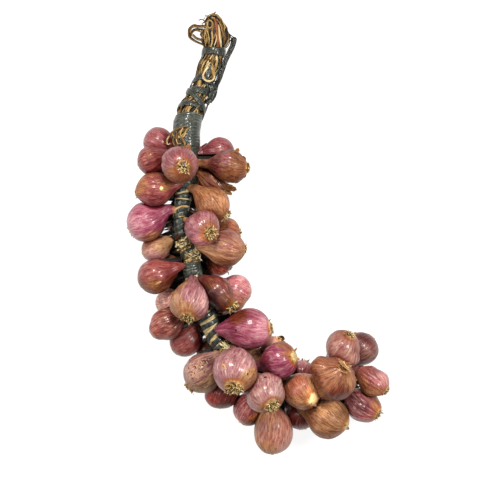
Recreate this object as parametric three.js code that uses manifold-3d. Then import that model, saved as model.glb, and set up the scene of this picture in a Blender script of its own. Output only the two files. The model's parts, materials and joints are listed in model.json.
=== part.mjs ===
// A plait of pink shallots, lying on a surface: bulbs tied by their dried necks all round a bundle of leaves
// and raffia, which a dark rubber strip binds. Millimetres, +Z up, the head of the plait towards +Y.
// The origin is the middle of the plait's footprint, on the surface.
import * as THREE from "three";
import { mergeVertices } from "three/addons/utils/BufferGeometryUtils.js";
import Module from "manifold-3d";

const wasm = await Module();
wasm.setup();

// ---- Driving dimensions ----

const GAP = 0.3; // clear space between neighbouring pieces
const SURFACE_SIZE = 600; // sides of the block that stands for the surface under the plait
const CENTRE_SHIFT = [1.4, -2, 0]; // puts the middle of the footprint on the origin
const UP = new THREE.Vector3(0, 0, 1);
const ACROSS = new THREE.Vector3(1, 0, 0);

// The core, from its head to its tail: x, y, z of its middle, and its radius.
const CORE = [
  [-42, 197.4, 11, 5],
  [-41.5, 192, 11.5, 9.5],
  [-39.5, 185.2, 12, 11.8],
  [-38.5, 176.4, 12.3, 12.2],
  [-39.6, 169, 12.6, 9.4],
  [-40.8, 162, 13.5, 9],
  [-45, 150, 16.5, 9.2],
  [-49, 140, 20, 7.2],
  [-54.6, 126, 25.5, 8.2],
  [-61, 110, 32, 8.8],
  [-63.5, 98, 37, 8.7],
  [-64, 82, 41, 8.5],
  [-64.2, 64, 43, 7.8],
  [-65, 48, 43.5, 6.5],
  [-68, 28, 43.5, 5.8],
  [-70, 12, 43.5, 4.6],
  [-68, -2, 43.5, 5.6],
  [-62, -15, 43.5, 7.2],
  [-59.3, -32, 44, 6.6],
  [-55, -52, 44, 7.4],
  [-46, -75, 43, 7.4],
  [-40, -89, 42, 7],
  [-34, -101, 42, 6.6],
  [-12, -120, 42, 6.4],
  [20, -132, 42, 6],
  [54, -135, 42, 5.4],
  [80, -131, 42, 4.2],
];
const CORE_SIDES = 12;
const CORE_STEP = 20; // greatest distance between two rings along the core
const CORE_TAIL = 3; // length at the tail that only the bulbs' necks reach into
const STRAND_DEPTH = 0.07; // how far the core's strands stand out, as a share of its radius
const STRAND_TWIST = 0.02; // turn of the strands, in radians per millimetre of the core

// The dark strip. Its turns close up into sleeves and open into spirals, given by their distances from the
// head, with the angle at which each spiral starts, in degrees from the core's right side.
const STRIP_THICKNESS = 1.3;
const STRIP_CLEARANCE = 0.4; // clear space between the core's strands and the strip's flat faces
const SPIRAL_INSET = 0.15; // how far a spiral's faces keep inside the faces of the sleeve that it runs into
const TURN_STEPS = 10;
const HEAD_BAND = { from: 29.5, to: 37 };
const STALK_TURNS = { from: 59, to: 100, pitch: 14, width: 5.6, hand: 1, start: 0 };
const STALK_CROSSING = { from: 69, to: 101, pitch: 46, width: 6, hand: -1, start: 200 };
const CROSSING_LIFT = 1; // how far the crossing strip lies off the turns under it
const SLEEVES = [
  { from: 102, to: 164 },
  { from: 181, to: 207 },
  { from: 232, to: 247 },
];
const SPIRALS = [
  { from: 162, to: 184, pitch: 6.4, width: 5, hand: 1, start: 0 },
  { from: 203, to: 237, pitch: 22, width: 6, hand: 1, start: 0 },
  { from: 244, to: 324, pitch: 9.2, width: 4.8, hand: 1, start: 0 },
  { from: 318, to: 432, pitch: 32, width: 6, hand: 1, start: 0 },
];

// A bulb's outline from its root plate to its neck: distance along its axis from the belly, and radius, both
// as shares of the belly's radius. The first row is the tuft of dried roots.
const BULB_OUTLINE = [
  [1.07, 0.2],
  [0.97, 0.27],
  [0.85, 0.58],
  [0.5, 0.9],
  [0, 1],
  [-0.45, 0.87],
  [-0.85, 0.56],
  [-1.2, 0.31],
];
const BULB_SIDES = 9;
const TUFT_POINT = 1.1; // how far the middle of the root tuft stands out, in the outline's terms
const TUFT_NOTCH = 0.6; // how far in every second point of the root tuft comes
const NECK_AIM = 0.5; // length of neck that still points along the bulb's axis, in the outline's terms
const NECK_END = 0.16; // radius of the neck where it enters the core, in the outline's terms
const NECK_STEPS = 2;

// The bulbs, from the head of the plait to its tail: x, y, z of the belly's middle, its diameter, the heading
// and the rise of the root end in degrees, the bulb's length against that of a round one, the distance of its
// neck's end from the head of the core, and its skin.
const BULBS = [
  [-90, 83, 28, 27, 165, -20, 1, 122, "pink"],
  [-96, 66, 44, 25, 203, -10, 1, 146, "rose"],
  [-70, 62, 72, 32, -35, 72, 1, 126, "pale"],
  [-35, 74, 30, 27, 5, -15, 1, 130, "pink"],
  [-26, 61, 52, 28, -6, 8, 1.1, 140, "russet"],
  [-42, 48, 38, 22, -37, -5, 1.1, 148, "russet"],
  [-93, 40, 50, 30, 193, -2, 1.1, 160, "rose"],
  [-41, 27, 54, 29, -41, 5, 1.1, 166, "orange"],
  [-101, 11, 42, 34, 209, -12, 1.05, 182, "magenta"],
  [-50, 5, 72, 31, -27, 55, 1, 188, "pink"],
  [-29, 2, 26, 25, -5, -15, 1, 196, "russet"],
  [-29, -13, 50, 31, -4, 3, 1.15, 213, "tan"],
  [-92, -13, 33, 24, 209, -5, 1.1, 209, "tan"],
  [-36, -25, 24, 25, -25, -15, 1, 222, "dark"],
  [-92, -38, 48, 31, 203, -8, 1.05, 236, "rose"],
  [-61, -60, 72, 33, -97, 35, 1.1, 248, "pale"],
  [-38, -52, 52, 27, -41, 8, 1.1, 246, "russet"],
  [-20, -51, 30, 28, -10, -10, 1, 256, "pink"],
  [-80, -62, 27, 25, 200, -20, 1, 258, "mauve"],
  [-82, -81, 46, 28, 215, -5, 1.05, 276, "russet"],
  [-65, -96, 28, 28, 228, -5, 1.1, 290, "rose"],
  [-9, -85, 54, 35, 2, 5, 1.15, 295, "magenta"],
  [-32, -72, 20, 22, -60, -10, 1, 276, "mauve"],
  [-50, -125, 46, 34, 227, -5, 1.1, 318, "mauve"],
  [-21, -122, 76, 38, -92, 42, 1, 322, "pale"],
  [-32, -143, 27, 30, -100, -15, 1, 332, "dark"],
  [19, -113, 62, 32, 17, 30, 1, 358, "magenta"],
  [14, -104, 35, 23, 55, 10, 1, 352, "tan"],
  [6, -142, 66, 34, -58, 45, 1.05, 352, "pale"],
  [-9, -159, 26, 28, -110, -5, 1.05, 350, "dark"],
  [14, -178, 34, 34, -85, -10, 1.2, 364, "tan"],
  [39.5, -141, 54, 33, -36, 42, 1, 386, "orange"],
  [67, -129, 73, 39, 52, 45, 1, 422, "orange"],
  [76, -102, 52, 31, 63, 25, 1, 430, "tan"],
  [94, -104, 29, 29, 50, -10, 1, 433, "mauve"],
  [103, -133, 48, 24, -34, 12, 1.1, 434, "rose"],
  [94, -154, 35, 30, -30, 18, 1.05, 428, "rose"],
  [63, -166, 42, 35, -20, 15, 1.05, 408, "tan"],
  [39, -163, 19, 29, -85, -10, 1, 406, "dark"],
  [40, -126, 32, 23, 75, -25, 1, 388, "pink"],
  [-7, -112, 38, 23, 20, 0, 1, 332, "tan"],
  [-45, -105, 18, 22, -120, -20, 1, 316, "russet"],
  [-80, -28, 20, 22, 190, -20, 1, 226, "dark"],
  [-61, 67, 14.4, 30, 80, -40, 1, 136, "russet"],
  [-52, 35, 13.4, 28, -20, -40, 1, 160, "dark"],
  [-72, 15, 13.4, 28, 190, -40, 1, 186, "rose"],
  [-58, -44, 12.9, 27, -60, -40, 1, 246, "dark"],
  [-20, -98, 12.4, 26, -30, -40, 1, 316, "russet"],
  [8, -128, 13.4, 28, 240, -40, 1, 364, "dark"],
  [66, -136, 14.4, 30, -10, -40, 1, 420, "rose"],
];

const SKINS = {
  pale: 0xc9958c,
  pink: 0xb86f6c,
  magenta: 0xa0465c,
  rose: 0x9c504c,
  mauve: 0xa0726e,
  tan: 0xb28262,
  orange: 0xa86438,
  russet: 0x7c4030,
  dark: 0x562222,
};
const SKIN_ROUGHNESS = 0.4;
const LEAF = { color: 0xb08a4e, roughness: 0.85 };
const STRIP = { color: 0x3d4341, roughness: 0.35 };

// Raffia: loops and ends as runs of points, with the half width and half thickness of each run.
const STRAND_SIDES = 5;
const STRAND_STEP = 4;
const HEAD_STRANDS = [
  { wide: 1.3, thick: 1.1, points: [[-50, 183, 15], [-49, 194, 17], [-46, 198.5, 17], [-43.5, 192, 17]] },
  { wide: 1.3, thick: 1.1, points: [[-46.5, 186, 20], [-45.5, 193.5, 20], [-42.5, 194, 20], [-41.5, 188, 19]] },
  { wide: 0.7, thick: 0.6, points: [[-43, 195, 13], [-41.5, 200, 14], [-38.4, 203.4, 15]] },
  { wide: 0.9, thick: 0.8, points: [[-28.5, 184.5, 14], [-23.4, 180.5, 17], [-24, 175, 17], [-29.5, 171.5, 14]] },
];
const HANGING_LOOP = {
  wide: 2.1,
  thick: 1.8,
  points: [
    [-46, 189.5, 13],
    [-54, 189, 12],
    [-59.8, 187, 11.5],
    [-61.6, 183, 11.5],
    [-59.8, 179, 11.5],
    [-54.5, 175.6, 12],
    [-46, 172.6, 13],
  ],
};
const TEARDROP = [
  {
    wide: 1.2,
    thick: 0.9,
    points: [
      [-41.5, 159, 26],
      [-40, 151.5, 28],
      [-38.8, 144.5, 31.4],
      [-41, 140.2, 33],
      [-44.5, 139, 33.4],
      [-48, 140.8, 33],
      [-48.5, 144.5, 31.8],
      [-45.5, 151.5, 28.4],
      [-42.5, 157, 26.4],
    ],
  },
  { wide: 1.5, thick: 0.9, points: [[-42, 158.5, 26], [-37.6, 156.5, 25.2], [-37, 150.5, 26.8]] },
];
const BOW = [
  {
    wide: 1,
    thick: 0.9,
    points: [
      [-62.1, 94.5, 51],
      [-66.6, 95.4, 50.8],
      [-72, 94, 48.8],
      [-77.4, 90.9, 45.5],
      [-80.5, 86.4, 43.3],
      [-81.4, 82, 42.8],
    ],
  },
  { wide: 1, thick: 0.8, points: [[-77, 91.2, 45.8], [-77, 86, 46], [-75, 81.5, 48], [-71.4, 78.4, 52]] },
  { wide: 1, thick: 0.8, points: [[-67.5, 95, 51], [-67, 87, 52.8], [-67.9, 80.5, 54]] },
  {
    wide: 0.9,
    thick: 0.8,
    points: [[-72, 94, 49], [-75.6, 90, 48.2], [-72.2, 86, 50.4], [-69, 90, 51.4], [-70.6, 94.6, 50.2]],
  },
];

// The strip's hanging loop: a single run from the collar to a knot, then a hairpin up to the tip and back.
const STRIP_LOOP = [
  { wide: 0.9, thick: 0.7, points: [[-50.4, 101, 36], [-46.2, 108, 33], [-42.4, 118, 30], [-38.6, 128, 26]] },
  {
    wide: 0.9,
    thick: 0.8,
    points: [
      [-39, 128, 25.5],
      [-36.4, 140.5, 21],
      [-32, 151.5, 18],
      [-27.2, 161.5, 16],
      [-23.4, 170.8, 15],
      [-21.8, 177, 14.6],
      [-20.2, 178.6, 14.5],
      [-18.6, 176.6, 14.6],
      [-20.6, 169.8, 15],
      [-24.4, 160.2, 16],
      [-29.4, 150.4, 18],
      [-33.8, 139.5, 21],
      [-36.6, 128, 25.5],
    ],
  },
];
const KNOT = { place: [-38, 130, 25], half: [2.2, 5.2, 2], turn: -0.35, sides: 8, rings: 6 };

// ---- Solids from rings of points ----

// One closed solid through rings of points. Each ring has as many points as the next and runs anticlockwise
// seen from ahead. The first ring is closed on startPoint where one is given.
function ringSolid(rings, startPoint) {
  const sides = rings[0].length;
  const points = rings.flat();
  const index = [];
  for (let first = 0; first + sides < points.length; first += sides)
    for (let i = 0; i < sides; i++) {
      const a = first + i;
      const b = first + ((i + 1) % sides);
      index.push(a, b, b + sides, a, b + sides, a + sides);
    }
  const last = points.length - sides;
  for (let i = 1; i + 1 < sides; i++) index.push(last, last + i, last + i + 1);
  if (startPoint) {
    points.push(startPoint);
    for (let i = 0; i < sides; i++) index.push(points.length - 1, (i + 1) % sides, i);
  } else for (let i = 1; i + 1 < sides; i++) index.push(0, i + 1, i);
  const geometry = new THREE.BufferGeometry().setFromPoints(points);
  geometry.setIndex(index);
  return solidOf(geometry);
}

function solidOf(geometry) {
  const bare = geometry.clone();
  bare.deleteAttribute("normal");
  bare.deleteAttribute("uv");
  const merged = mergeVertices(bare);
  return new wasm.Manifold(
    new wasm.Mesh({
      numProp: 3,
      vertProperties: merged.attributes.position.array,
      triVerts: new Uint32Array(merged.index.array),
    }),
  );
}

function joined(solids) {
  return solids.reduce((whole, solid) => whole.add(solid));
}

function largestBody(solid) {
  return solid.decompose().reduce((a, b) => (b.volume() > a.volume() ? b : a));
}

function meshOf(name, solid, material) {
  const body = solid.getMesh();
  const geometry = new THREE.BufferGeometry();
  geometry.setAttribute("position", new THREE.BufferAttribute(body.vertProperties, 3));
  geometry.setIndex(new THREE.BufferAttribute(body.triVerts, 1));
  geometry.computeVertexNormals();
  const mesh = new THREE.Mesh(geometry, material);
  mesh.name = name;
  return mesh;
}

// Two directions square to a direction and to each other, the first of them level.
function squareTo(direction) {
  const level = Math.abs(direction.z) > 0.95 ? ACROSS : UP;
  const side = new THREE.Vector3().crossVectors(level, direction).normalize();
  const up = new THREE.Vector3().crossVectors(direction, side);
  return { side, up };
}

// A ring of points round a centre. reach(i) is the distance of each point from the centre.
function ring(centre, { side, up }, sides, reach, turn = 0) {
  return Array.from({ length: sides }, (_, i) => {
    const angle = (2 * Math.PI * i) / sides + turn;
    return centre
      .clone()
      .addScaledVector(side, reach(i) * Math.cos(angle))
      .addScaledVector(up, reach(i) * Math.sin(angle));
  });
}

// ---- Core ----

function smoothCurve(rows) {
  const points = rows.map(([x, y, z]) => new THREE.Vector3(x, y, z));
  return new THREE.CatmullRomCurve3(points, false, "centripetal");
}

const coreCurve = smoothCurve(CORE);
const CURVE_PARTS = 1000;
coreCurve.arcLengthDivisions = CURVE_PARTS;
const curveDistances = coreCurve.getLengths();
const CORE_LENGTH = coreCurve.getLength();
const rowDistances = CORE.map((_, i) => curveDistances[Math.round((i / (CORE.length - 1)) * CURVE_PARTS)]);

// Distances from the head at which everything that runs along the core has a ring.
const coreStations = rowDistances.slice(1).flatMap((end, row) => {
  const start = rowDistances[row];
  const parts = Math.ceil((end - start) / CORE_STEP);
  return Array.from({ length: parts }, (_, i) => start + ((end - start) * i) / parts);
});

function coreRadius(distance) {
  const row = Math.max(1, rowDistances.findIndex((d) => d >= distance));
  const share = (distance - rowDistances[row - 1]) / (rowDistances[row] - rowDistances[row - 1]);
  return THREE.MathUtils.lerp(CORE[row - 1][3], CORE[row][3], share);
}

function coreFrame(distance) {
  const t = THREE.MathUtils.clamp(distance / CORE_LENGTH, 0, 1);
  return { centre: coreCurve.getPointAt(t), ...squareTo(coreCurve.getTangentAt(t)) };
}

// A tube along the core between two distances from the head. reach(distance, i) is its radius at each point.
function coreTube(from, to, sides, reach, twist = 0) {
  const between = coreStations.filter((d) => d > from + GAP && d < to - GAP);
  const rings = [from, ...between, to].map((distance) => {
    const frame = coreFrame(distance);
    return ring(frame.centre, frame, sides, (i) => reach(distance, i), twist * distance);
  });
  return ringSolid(rings);
}

function coreSolid() {
  const strand = (i) => (i % 2 ? 1 - STRAND_DEPTH : 1 + STRAND_DEPTH);
  const reach = (distance, i) => coreRadius(distance) * strand(i);
  return coreTube(0, CORE_LENGTH - CORE_TAIL, CORE_SIDES, reach, STRAND_TWIST);
}

// ---- Dark strip ----

// Inner radius of the strip at a distance from the head, clear of the strands under its flat faces.
function stripRadius(distance) {
  return (coreRadius(distance) * (1 + STRAND_DEPTH) + STRIP_CLEARANCE) / Math.cos(Math.PI / TURN_STEPS);
}

function sleeve({ from, to }) {
  const outer = coreTube(from, to, TURN_STEPS, (d) => stripRadius(d) + STRIP_THICKNESS);
  const inner = coreTube(from - 1, to + 1, TURN_STEPS, stripRadius);
  return outer.subtract(inner);
}

// A strip wound round the core. lift raises it off its usual radius, to cross over other turns.
function spiral({ from, to, pitch, width, hand, start }, lift = 0) {
  const steps = Math.round(((to - from - width) / pitch) * TURN_STEPS);
  const rings = Array.from({ length: steps + 1 }, (_, k) => {
    const middle = from + width / 2 + (k * pitch) / TURN_STEPS;
    const angle = THREE.MathUtils.degToRad(start) + (hand * 2 * Math.PI * k) / TURN_STEPS;
    const corner = (distance, thickness) => {
      const { centre, side, up } = coreFrame(distance);
      const reach = stripRadius(distance) + lift + thickness;
      const outward = side.multiplyScalar(Math.cos(angle)).addScaledVector(up, Math.sin(angle));
      return centre.addScaledVector(outward, reach);
    };
    const corners = [
      corner(middle - width / 2, SPIRAL_INSET),
      corner(middle + width / 2, SPIRAL_INSET),
      corner(middle + width / 2, STRIP_THICKNESS - SPIRAL_INSET),
      corner(middle - width / 2, STRIP_THICKNESS - SPIRAL_INSET),
    ];
    return hand > 0 ? corners : corners.reverse();
  });
  return ringSolid(rings);
}

// ---- Bulbs ----

// One bulb with its neck, which runs on to the middle of the core. extra makes it thicker all over.
function bulbSolid([x, y, z, diameter, heading, rise, length, neckDistance], extra) {
  const radius = diameter / 2;
  const axis = new THREE.Vector3(1, 0, 0)
    .applyAxisAngle(new THREE.Vector3(0, -1, 0), THREE.MathUtils.degToRad(rise))
    .applyAxisAngle(UP, THREE.MathUtils.degToRad(heading));
  const along = (share) => new THREE.Vector3(x, y, z).addScaledVector(axis, share * radius * length);
  const frame = squareTo(axis.clone().negate());
  const rings = BULB_OUTLINE.map(([share, size], row) =>
    ring(along(share), frame, BULB_SIDES, (i) => size * radius * (row || i % 2 ? 1 : TUFT_NOTCH) + extra),
  );
  const [neckShare, neckSize] = BULB_OUTLINE.at(-1);
  const neck = new THREE.QuadraticBezierCurve3(
    along(neckShare),
    along(neckShare - NECK_AIM),
    coreFrame(neckDistance).centre,
  );
  for (let k = 1; k <= NECK_STEPS; k++) {
    const direction = neck.getTangent(k / NECK_STEPS);
    const side = frame.side.clone().projectOnPlane(direction).normalize();
    const up = new THREE.Vector3().crossVectors(direction, side);
    const size = THREE.MathUtils.lerp(neckSize, NECK_END, k / NECK_STEPS) * radius;
    rings.push(ring(neck.getPoint(k / NECK_STEPS), { side, up }, BULB_SIDES, () => size + extra));
  }
  return ringSolid(rings, along(TUFT_POINT));
}

// ---- Raffia ----

function strand({ wide, thick, points }) {
  const curve = smoothCurve(points);
  const steps = Math.ceil(curve.getLength() / STRAND_STEP);
  const rings = Array.from({ length: steps + 1 }, (_, k) => {
    const centre = curve.getPointAt(k / steps);
    const { side, up } = squareTo(curve.getTangentAt(k / steps));
    const across = { side: side.multiplyScalar(wide), up: up.multiplyScalar(thick) };
    return ring(centre, across, STRAND_SIDES, () => 1);
  });
  return ringSolid(rings);
}

function knot({ place, half, turn, sides, rings }) {
  const ball = new THREE.SphereGeometry(1, sides, rings).scale(...half);
  return solidOf(ball.rotateZ(turn).translate(...place));
}

// ---- Assembly ----

// What the plait lies on, to cut a small flat spot on each piece that reaches it.
const block = new THREE.BoxGeometry(SURFACE_SIZE, SURFACE_SIZE, SURFACE_SIZE);
const surface = solidOf(block.translate(0, 0, -SURFACE_SIZE / 2));

// The core and the wrapped core with clear space round them, to cut what reaches into them.
const clearCore = coreTube(0, CORE_LENGTH, CORE_SIDES, (d) => coreRadius(d) * (1 + STRAND_DEPTH) + GAP);
const clearWraps = coreTube(
  STALK_TURNS.from,
  CORE_LENGTH,
  TURN_STEPS,
  (d) => stripRadius(d) + STRIP_THICKNESS + GAP,
);

// Every bulb is pressed flat where a bulb before it in the table is in its way.
function bulbBodies() {
  const clear = [];
  return BULBS.map((row) => {
    const inTheWay = [clearWraps, surface, ...clear];
    clear.push(bulbSolid(row, GAP));
    return largestBody(inTheWay.reduce((left, other) => left.subtract(other), bulbSolid(row, 0)));
  });
}

function material(look) {
  return new THREE.MeshStandardMaterial({ metalness: 0, ...look });
}

const leaf = material(LEAF);
const strip = material(STRIP);
const skins = Object.fromEntries(
  Object.entries(SKINS).map(([name, color]) => [name, material({ color, roughness: SKIN_ROUGHNESS })]),
);

const plaitWraps = [...SLEEVES.map(sleeve), ...SPIRALS.map((turns) => spiral(turns))];
const stalkWraps = [spiral(STALK_TURNS), spiral(STALK_CROSSING, CROSSING_LIFT)];

const plait = new THREE.Group();
plait.position.set(...CENTRE_SHIFT);
plait.add(
  meshOf("leaf_core", joined([coreSolid(), ...HEAD_STRANDS.map(strand)]).subtract(surface), leaf),
  meshOf("raffia_hanging_loop", largestBody(strand(HANGING_LOOP).subtract(clearCore)), leaf),
  meshOf("raffia_teardrop", joined(TEARDROP.map(strand)), leaf),
  meshOf("raffia_bow", joined(BOW.map(strand)), leaf),
  meshOf("strip_head_band", sleeve(HEAD_BAND), strip),
  meshOf("strip_stalk_wraps", joined(stalkWraps), strip),
  meshOf("strip_plait_wraps", joined(plaitWraps), strip),
  meshOf("strip_hanging_loop", joined([...STRIP_LOOP.map(strand), knot(KNOT)]), strip),
);
bulbBodies().forEach((solid, i) => {
  const skin = BULBS[i].at(-1);
  plait.add(meshOf(`bulb_${String(i + 1).padStart(2, "0")}`, solid, skins[skin]));
});

export default plait;
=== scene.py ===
"""A plait of pink shallots: papery skins, dried roots, raffia and rubber strip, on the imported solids.

Everything is modelled in millimetres in the row frame and scaled to metres when its mesh is made. Distances
along the core are measured from its head, and shares along a bulb from its belly, 1 towards the root.
"""

import json
import math

import bpy
import numpy as np
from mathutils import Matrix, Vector
from mathutils.bvhtree import BVHTree


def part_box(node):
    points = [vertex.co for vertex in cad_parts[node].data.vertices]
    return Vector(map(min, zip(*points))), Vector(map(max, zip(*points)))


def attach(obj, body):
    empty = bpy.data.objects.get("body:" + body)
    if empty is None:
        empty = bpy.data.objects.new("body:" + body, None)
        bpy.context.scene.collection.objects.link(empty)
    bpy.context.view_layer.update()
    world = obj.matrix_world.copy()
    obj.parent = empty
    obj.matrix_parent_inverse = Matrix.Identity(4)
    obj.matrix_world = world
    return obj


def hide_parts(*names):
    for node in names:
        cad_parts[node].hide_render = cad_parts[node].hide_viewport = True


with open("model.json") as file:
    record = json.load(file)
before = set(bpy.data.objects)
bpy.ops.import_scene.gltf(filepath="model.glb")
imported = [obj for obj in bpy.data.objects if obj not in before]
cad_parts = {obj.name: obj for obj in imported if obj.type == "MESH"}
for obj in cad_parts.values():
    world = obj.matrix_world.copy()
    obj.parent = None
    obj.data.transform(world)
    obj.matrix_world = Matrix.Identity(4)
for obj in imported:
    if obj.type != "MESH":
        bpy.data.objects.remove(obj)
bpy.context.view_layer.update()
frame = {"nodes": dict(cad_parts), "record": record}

MM = 0.001
UP = np.array([0.0, 0.0, 1.0])
SEED = 7100
# What each kind of piece adds to the seed, besides its own number.
SHRED_SEED = 77
STRAND_SEEDS = (0, 200, 400)
DENT_SEED = 500
FLAKE_SEED = 600
SCAR_SEED = 700
WINDING_SEEDS = (900, 950, 980)
STRAP_SEED = 970
TANGLE_SEED = 1100
ROOTLET_SEED = 3000
SHARD_SEED = 4000
SPECKLE_SEED = 5000
FLOOR_CLEARANCE = 0.02  # nothing reaches lower than this
FAR = 99.0  # farther from a bulb than matters to its skin

# ---- Camera, floor and light ----

LOOK_AT = (-14.8, -7.4, 45.0)  # the middle of the picture, at the height that VIEW_WIDTH is measured at
VIEW_WIDTH = 432.0
CAMERA_DISTANCE = 2500.0
CAMERA_REACH = 100  # in metres
SENSOR = 36.0
WHITE = (1, 1, 1, 1)
FLOOR_SIZE = 9000.0
FLOOR_COLOUR = 0x828281
FLOOR_GLOW = 0.88  # the floor shines by itself, so that it looks as white as the photo's background
SKY_STRENGTH = 0.32
# Softboxes: place, side, watts and colour.
LAMPS = [
    ((-60, 1200, 1750), 480, 49.0, 0xFFF9EE),
    ((1000, 200, 1500), 360, 23.0, 0xFFFCF6),
    ((-1150, 100, 1150), 700, 14.0, 0xFFF9F0),
]
EXPOSED_SHARE = 0.55  # surfaces look brighter than they are in this light: a colour's share of its look


def linear(colour, share=EXPOSED_SHARE):
    """The linear red, green, blue and alpha of what looks like a hex sRGB colour in this light."""
    parts = [(colour >> shift & 255) / 255 for shift in (16, 8, 0)]
    return [share * (c / 12.92 if c <= 0.04045 else ((c + 0.055) / 1.055) ** 2.4) for c in parts] + [1.0]


def add_object(name, data):
    made = bpy.data.objects.new(name, data)
    bpy.context.scene.collection.objects.link(made)
    return made


def aim(thing, place, target):
    """Puts a lamp at a place, shining at a target."""
    thing.location = Vector(place) * MM
    thing.rotation_euler = (Vector(target) - Vector(place)).to_track_quat("-Z", "Y").to_euler()


def add_camera():
    data = bpy.data.cameras.new("camera")
    data.sensor_width = SENSOR
    data.lens = SENSOR * CAMERA_DISTANCE / VIEW_WIDTH
    data.clip_end = CAMERA_REACH
    camera = add_object("camera", data)
    camera.location = (Vector(LOOK_AT) + Vector((0, 0, CAMERA_DISTANCE))) * MM
    bpy.context.scene.camera = camera


def add_light():
    scene = bpy.context.scene
    scene.view_settings.view_transform = "Standard"
    world = bpy.data.worlds.new("sky")
    world.use_nodes = True
    background = world.node_tree.nodes["Background"]
    background.inputs["Color"].default_value = WHITE
    background.inputs["Strength"].default_value = SKY_STRENGTH
    scene.world = world
    for number, (place, side, watts, colour) in enumerate(LAMPS):
        data = bpy.data.lights.new(f"softbox_{number}", "AREA")
        data.size = side * MM
        data.energy = watts
        data.color = linear(colour, 1.0)[:3]
        aim(add_object(data.name, data), place, LOOK_AT)


def add_floor():
    half = FLOOR_SIZE / 2 * MM
    mesh = bpy.data.meshes.new("floor")
    corners = [(-half, -half, 0), (half, -half, 0), (half, half, 0), (-half, half, 0)]
    mesh.from_pydata(corners, [], [(0, 1, 2, 3)])
    graph = Graph("floor")
    graph.shade(linear(FLOOR_COLOUR, 1.0), roughness=0.9, specular=0.1)
    graph.shader.inputs["Emission Color"].default_value = WHITE
    graph.shader.inputs["Emission Strength"].default_value = FLOOR_GLOW
    mesh.materials.append(graph.material)
    add_object("floor", mesh)


# ---- Materials ----

NOISE_INPUTS = ("Vector", "Scale", "Detail", "Roughness")
MIX_INPUTS = (6, 7)  # where a Mix node takes its two colours
MIX_OUTPUT = 2  # and where it gives their mixture
SHADE_RED_POWERS = (0.74, 1.5, 1.56)  # how red, green and blue follow a tone, so that painted shade turns deep red


class Graph:
    """A material's node tree, written as calls that return sockets."""

    def __init__(self, name):
        self.material = bpy.data.materials.new(name)
        self.material.use_nodes = True
        self.tree = self.material.node_tree
        self.shader = self.tree.nodes["Principled BSDF"]

    def add(self, kind, **settings):
        node = self.tree.nodes.new(kind)
        for name, value in settings.items():
            setattr(node, name, value)
        return node

    def feed(self, socket, value):
        """Links a socket or sets a number, colour or vector."""
        if isinstance(value, bpy.types.NodeSocket):
            self.tree.links.new(value, socket)
        else:
            socket.default_value = value

    def attribute(self, name, output="Vector"):
        return self.add("ShaderNodeAttribute", attribute_name=name).outputs[output]

    def number(self, name):
        return self.attribute(name, "Fac")

    def noise(self, vector, scale, detail, roughness=0.5):
        node = self.add("ShaderNodeTexNoise")
        for name, value in zip(NOISE_INPUTS, (vector, scale, detail, roughness)):
            self.feed(node.inputs[name], value)
        return node.outputs["Fac"]

    def dots(self, vector, scale):
        """Distance to the nearest of many scattered points."""
        node = self.add("ShaderNodeTexVoronoi")
        self.feed(node.inputs["Vector"], vector)
        node.inputs["Scale"].default_value = scale
        return node.outputs["Distance"]

    def math(self, operation, *values):
        node = self.add("ShaderNodeMath", operation=operation)
        for socket, value in zip(node.inputs, values):
            self.feed(socket, value)
        return node.outputs[0]

    def product(self, a, b):
        return self.math("MULTIPLY", a, b)

    def total(self, *terms):
        """The sum of (socket, weight) pairs and of plain numbers or sockets."""
        result = 0.0
        for term in terms:
            if isinstance(term, tuple):
                result = self.math("MULTIPLY_ADD", term[0], term[1], result)
            else:
                result = self.math("ADD", result, term)
        return result

    def step(self, value, low, high):
        """0 below low, 1 above high and smooth between them."""
        node = self.add("ShaderNodeMapRange", interpolation_type="SMOOTHSTEP")
        self.feed(node.inputs["Value"], value)
        node.inputs["From Min"].default_value = low
        node.inputs["From Max"].default_value = high
        return node.outputs["Result"]

    def scaled(self, vector, factors):
        """A vector or colour times another, part by part."""
        node = self.add("ShaderNodeVectorMath", operation="MULTIPLY")
        self.feed(node.inputs[0], vector)
        self.feed(node.inputs[1], factors)
        return node.outputs["Vector"]

    def reddened_in_shade(self, colour, tone):
        """A colour times a tone, and redder as it darkens: painted shade takes the deep red of layered skin
        in shadow.
        """
        dark = self.math("MINIMUM", tone, 1.0)
        shade_tint = self.add("ShaderNodeCombineXYZ")
        for socket, power in zip(shade_tint.inputs, SHADE_RED_POWERS):
            self.feed(socket, self.math("POWER", dark, power))
        colour = self.scaled(colour, shade_tint.outputs["Vector"])
        bright = self.add("ShaderNodeVectorMath", operation="SCALE")
        self.feed(bright.inputs[0], colour)
        self.feed(bright.inputs["Scale"], self.math("MAXIMUM", tone, 1.0))
        return bright.outputs["Vector"]

    def mix(self, factor, a, b):
        node = self.add("ShaderNodeMix", data_type="RGBA")
        self.feed(node.inputs["Factor"], factor)
        for socket, value in zip(MIX_INPUTS, (a, b)):
            self.feed(node.inputs[socket], value)
        return node.outputs[MIX_OUTPUT]

    def ramp(self, factor, *stops):
        """A colour ramp through (place, hex colour) stops."""
        node = self.add("ShaderNodeValToRGB")
        self.feed(node.inputs["Fac"], factor)
        elements = node.color_ramp.elements
        while len(elements) < len(stops):
            elements.new(0.5)
        for element, (place, colour) in zip(elements, stops):
            element.position = place
            element.color = linear(colour)
        return node.outputs["Color"]

    def bump(self, height, distance_mm, strength):
        node = self.add("ShaderNodeBump")
        node.inputs["Strength"].default_value = strength
        node.inputs["Distance"].default_value = distance_mm * MM
        self.feed(node.inputs["Height"], height)
        return node.outputs["Normal"]

    def shade(self, colour, roughness, normal=None, coat=0.0, coat_roughness=0.2, specular=0.5):
        inputs = self.shader.inputs
        self.feed(inputs["Base Color"], colour)
        self.feed(inputs["Roughness"], roughness)
        self.feed(inputs["Coat Weight"], coat)
        inputs["Coat Roughness"].default_value = coat_roughness
        inputs["Specular IOR Level"].default_value = specular
        if normal is not None:
            self.feed(inputs["Normal"], normal)


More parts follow.
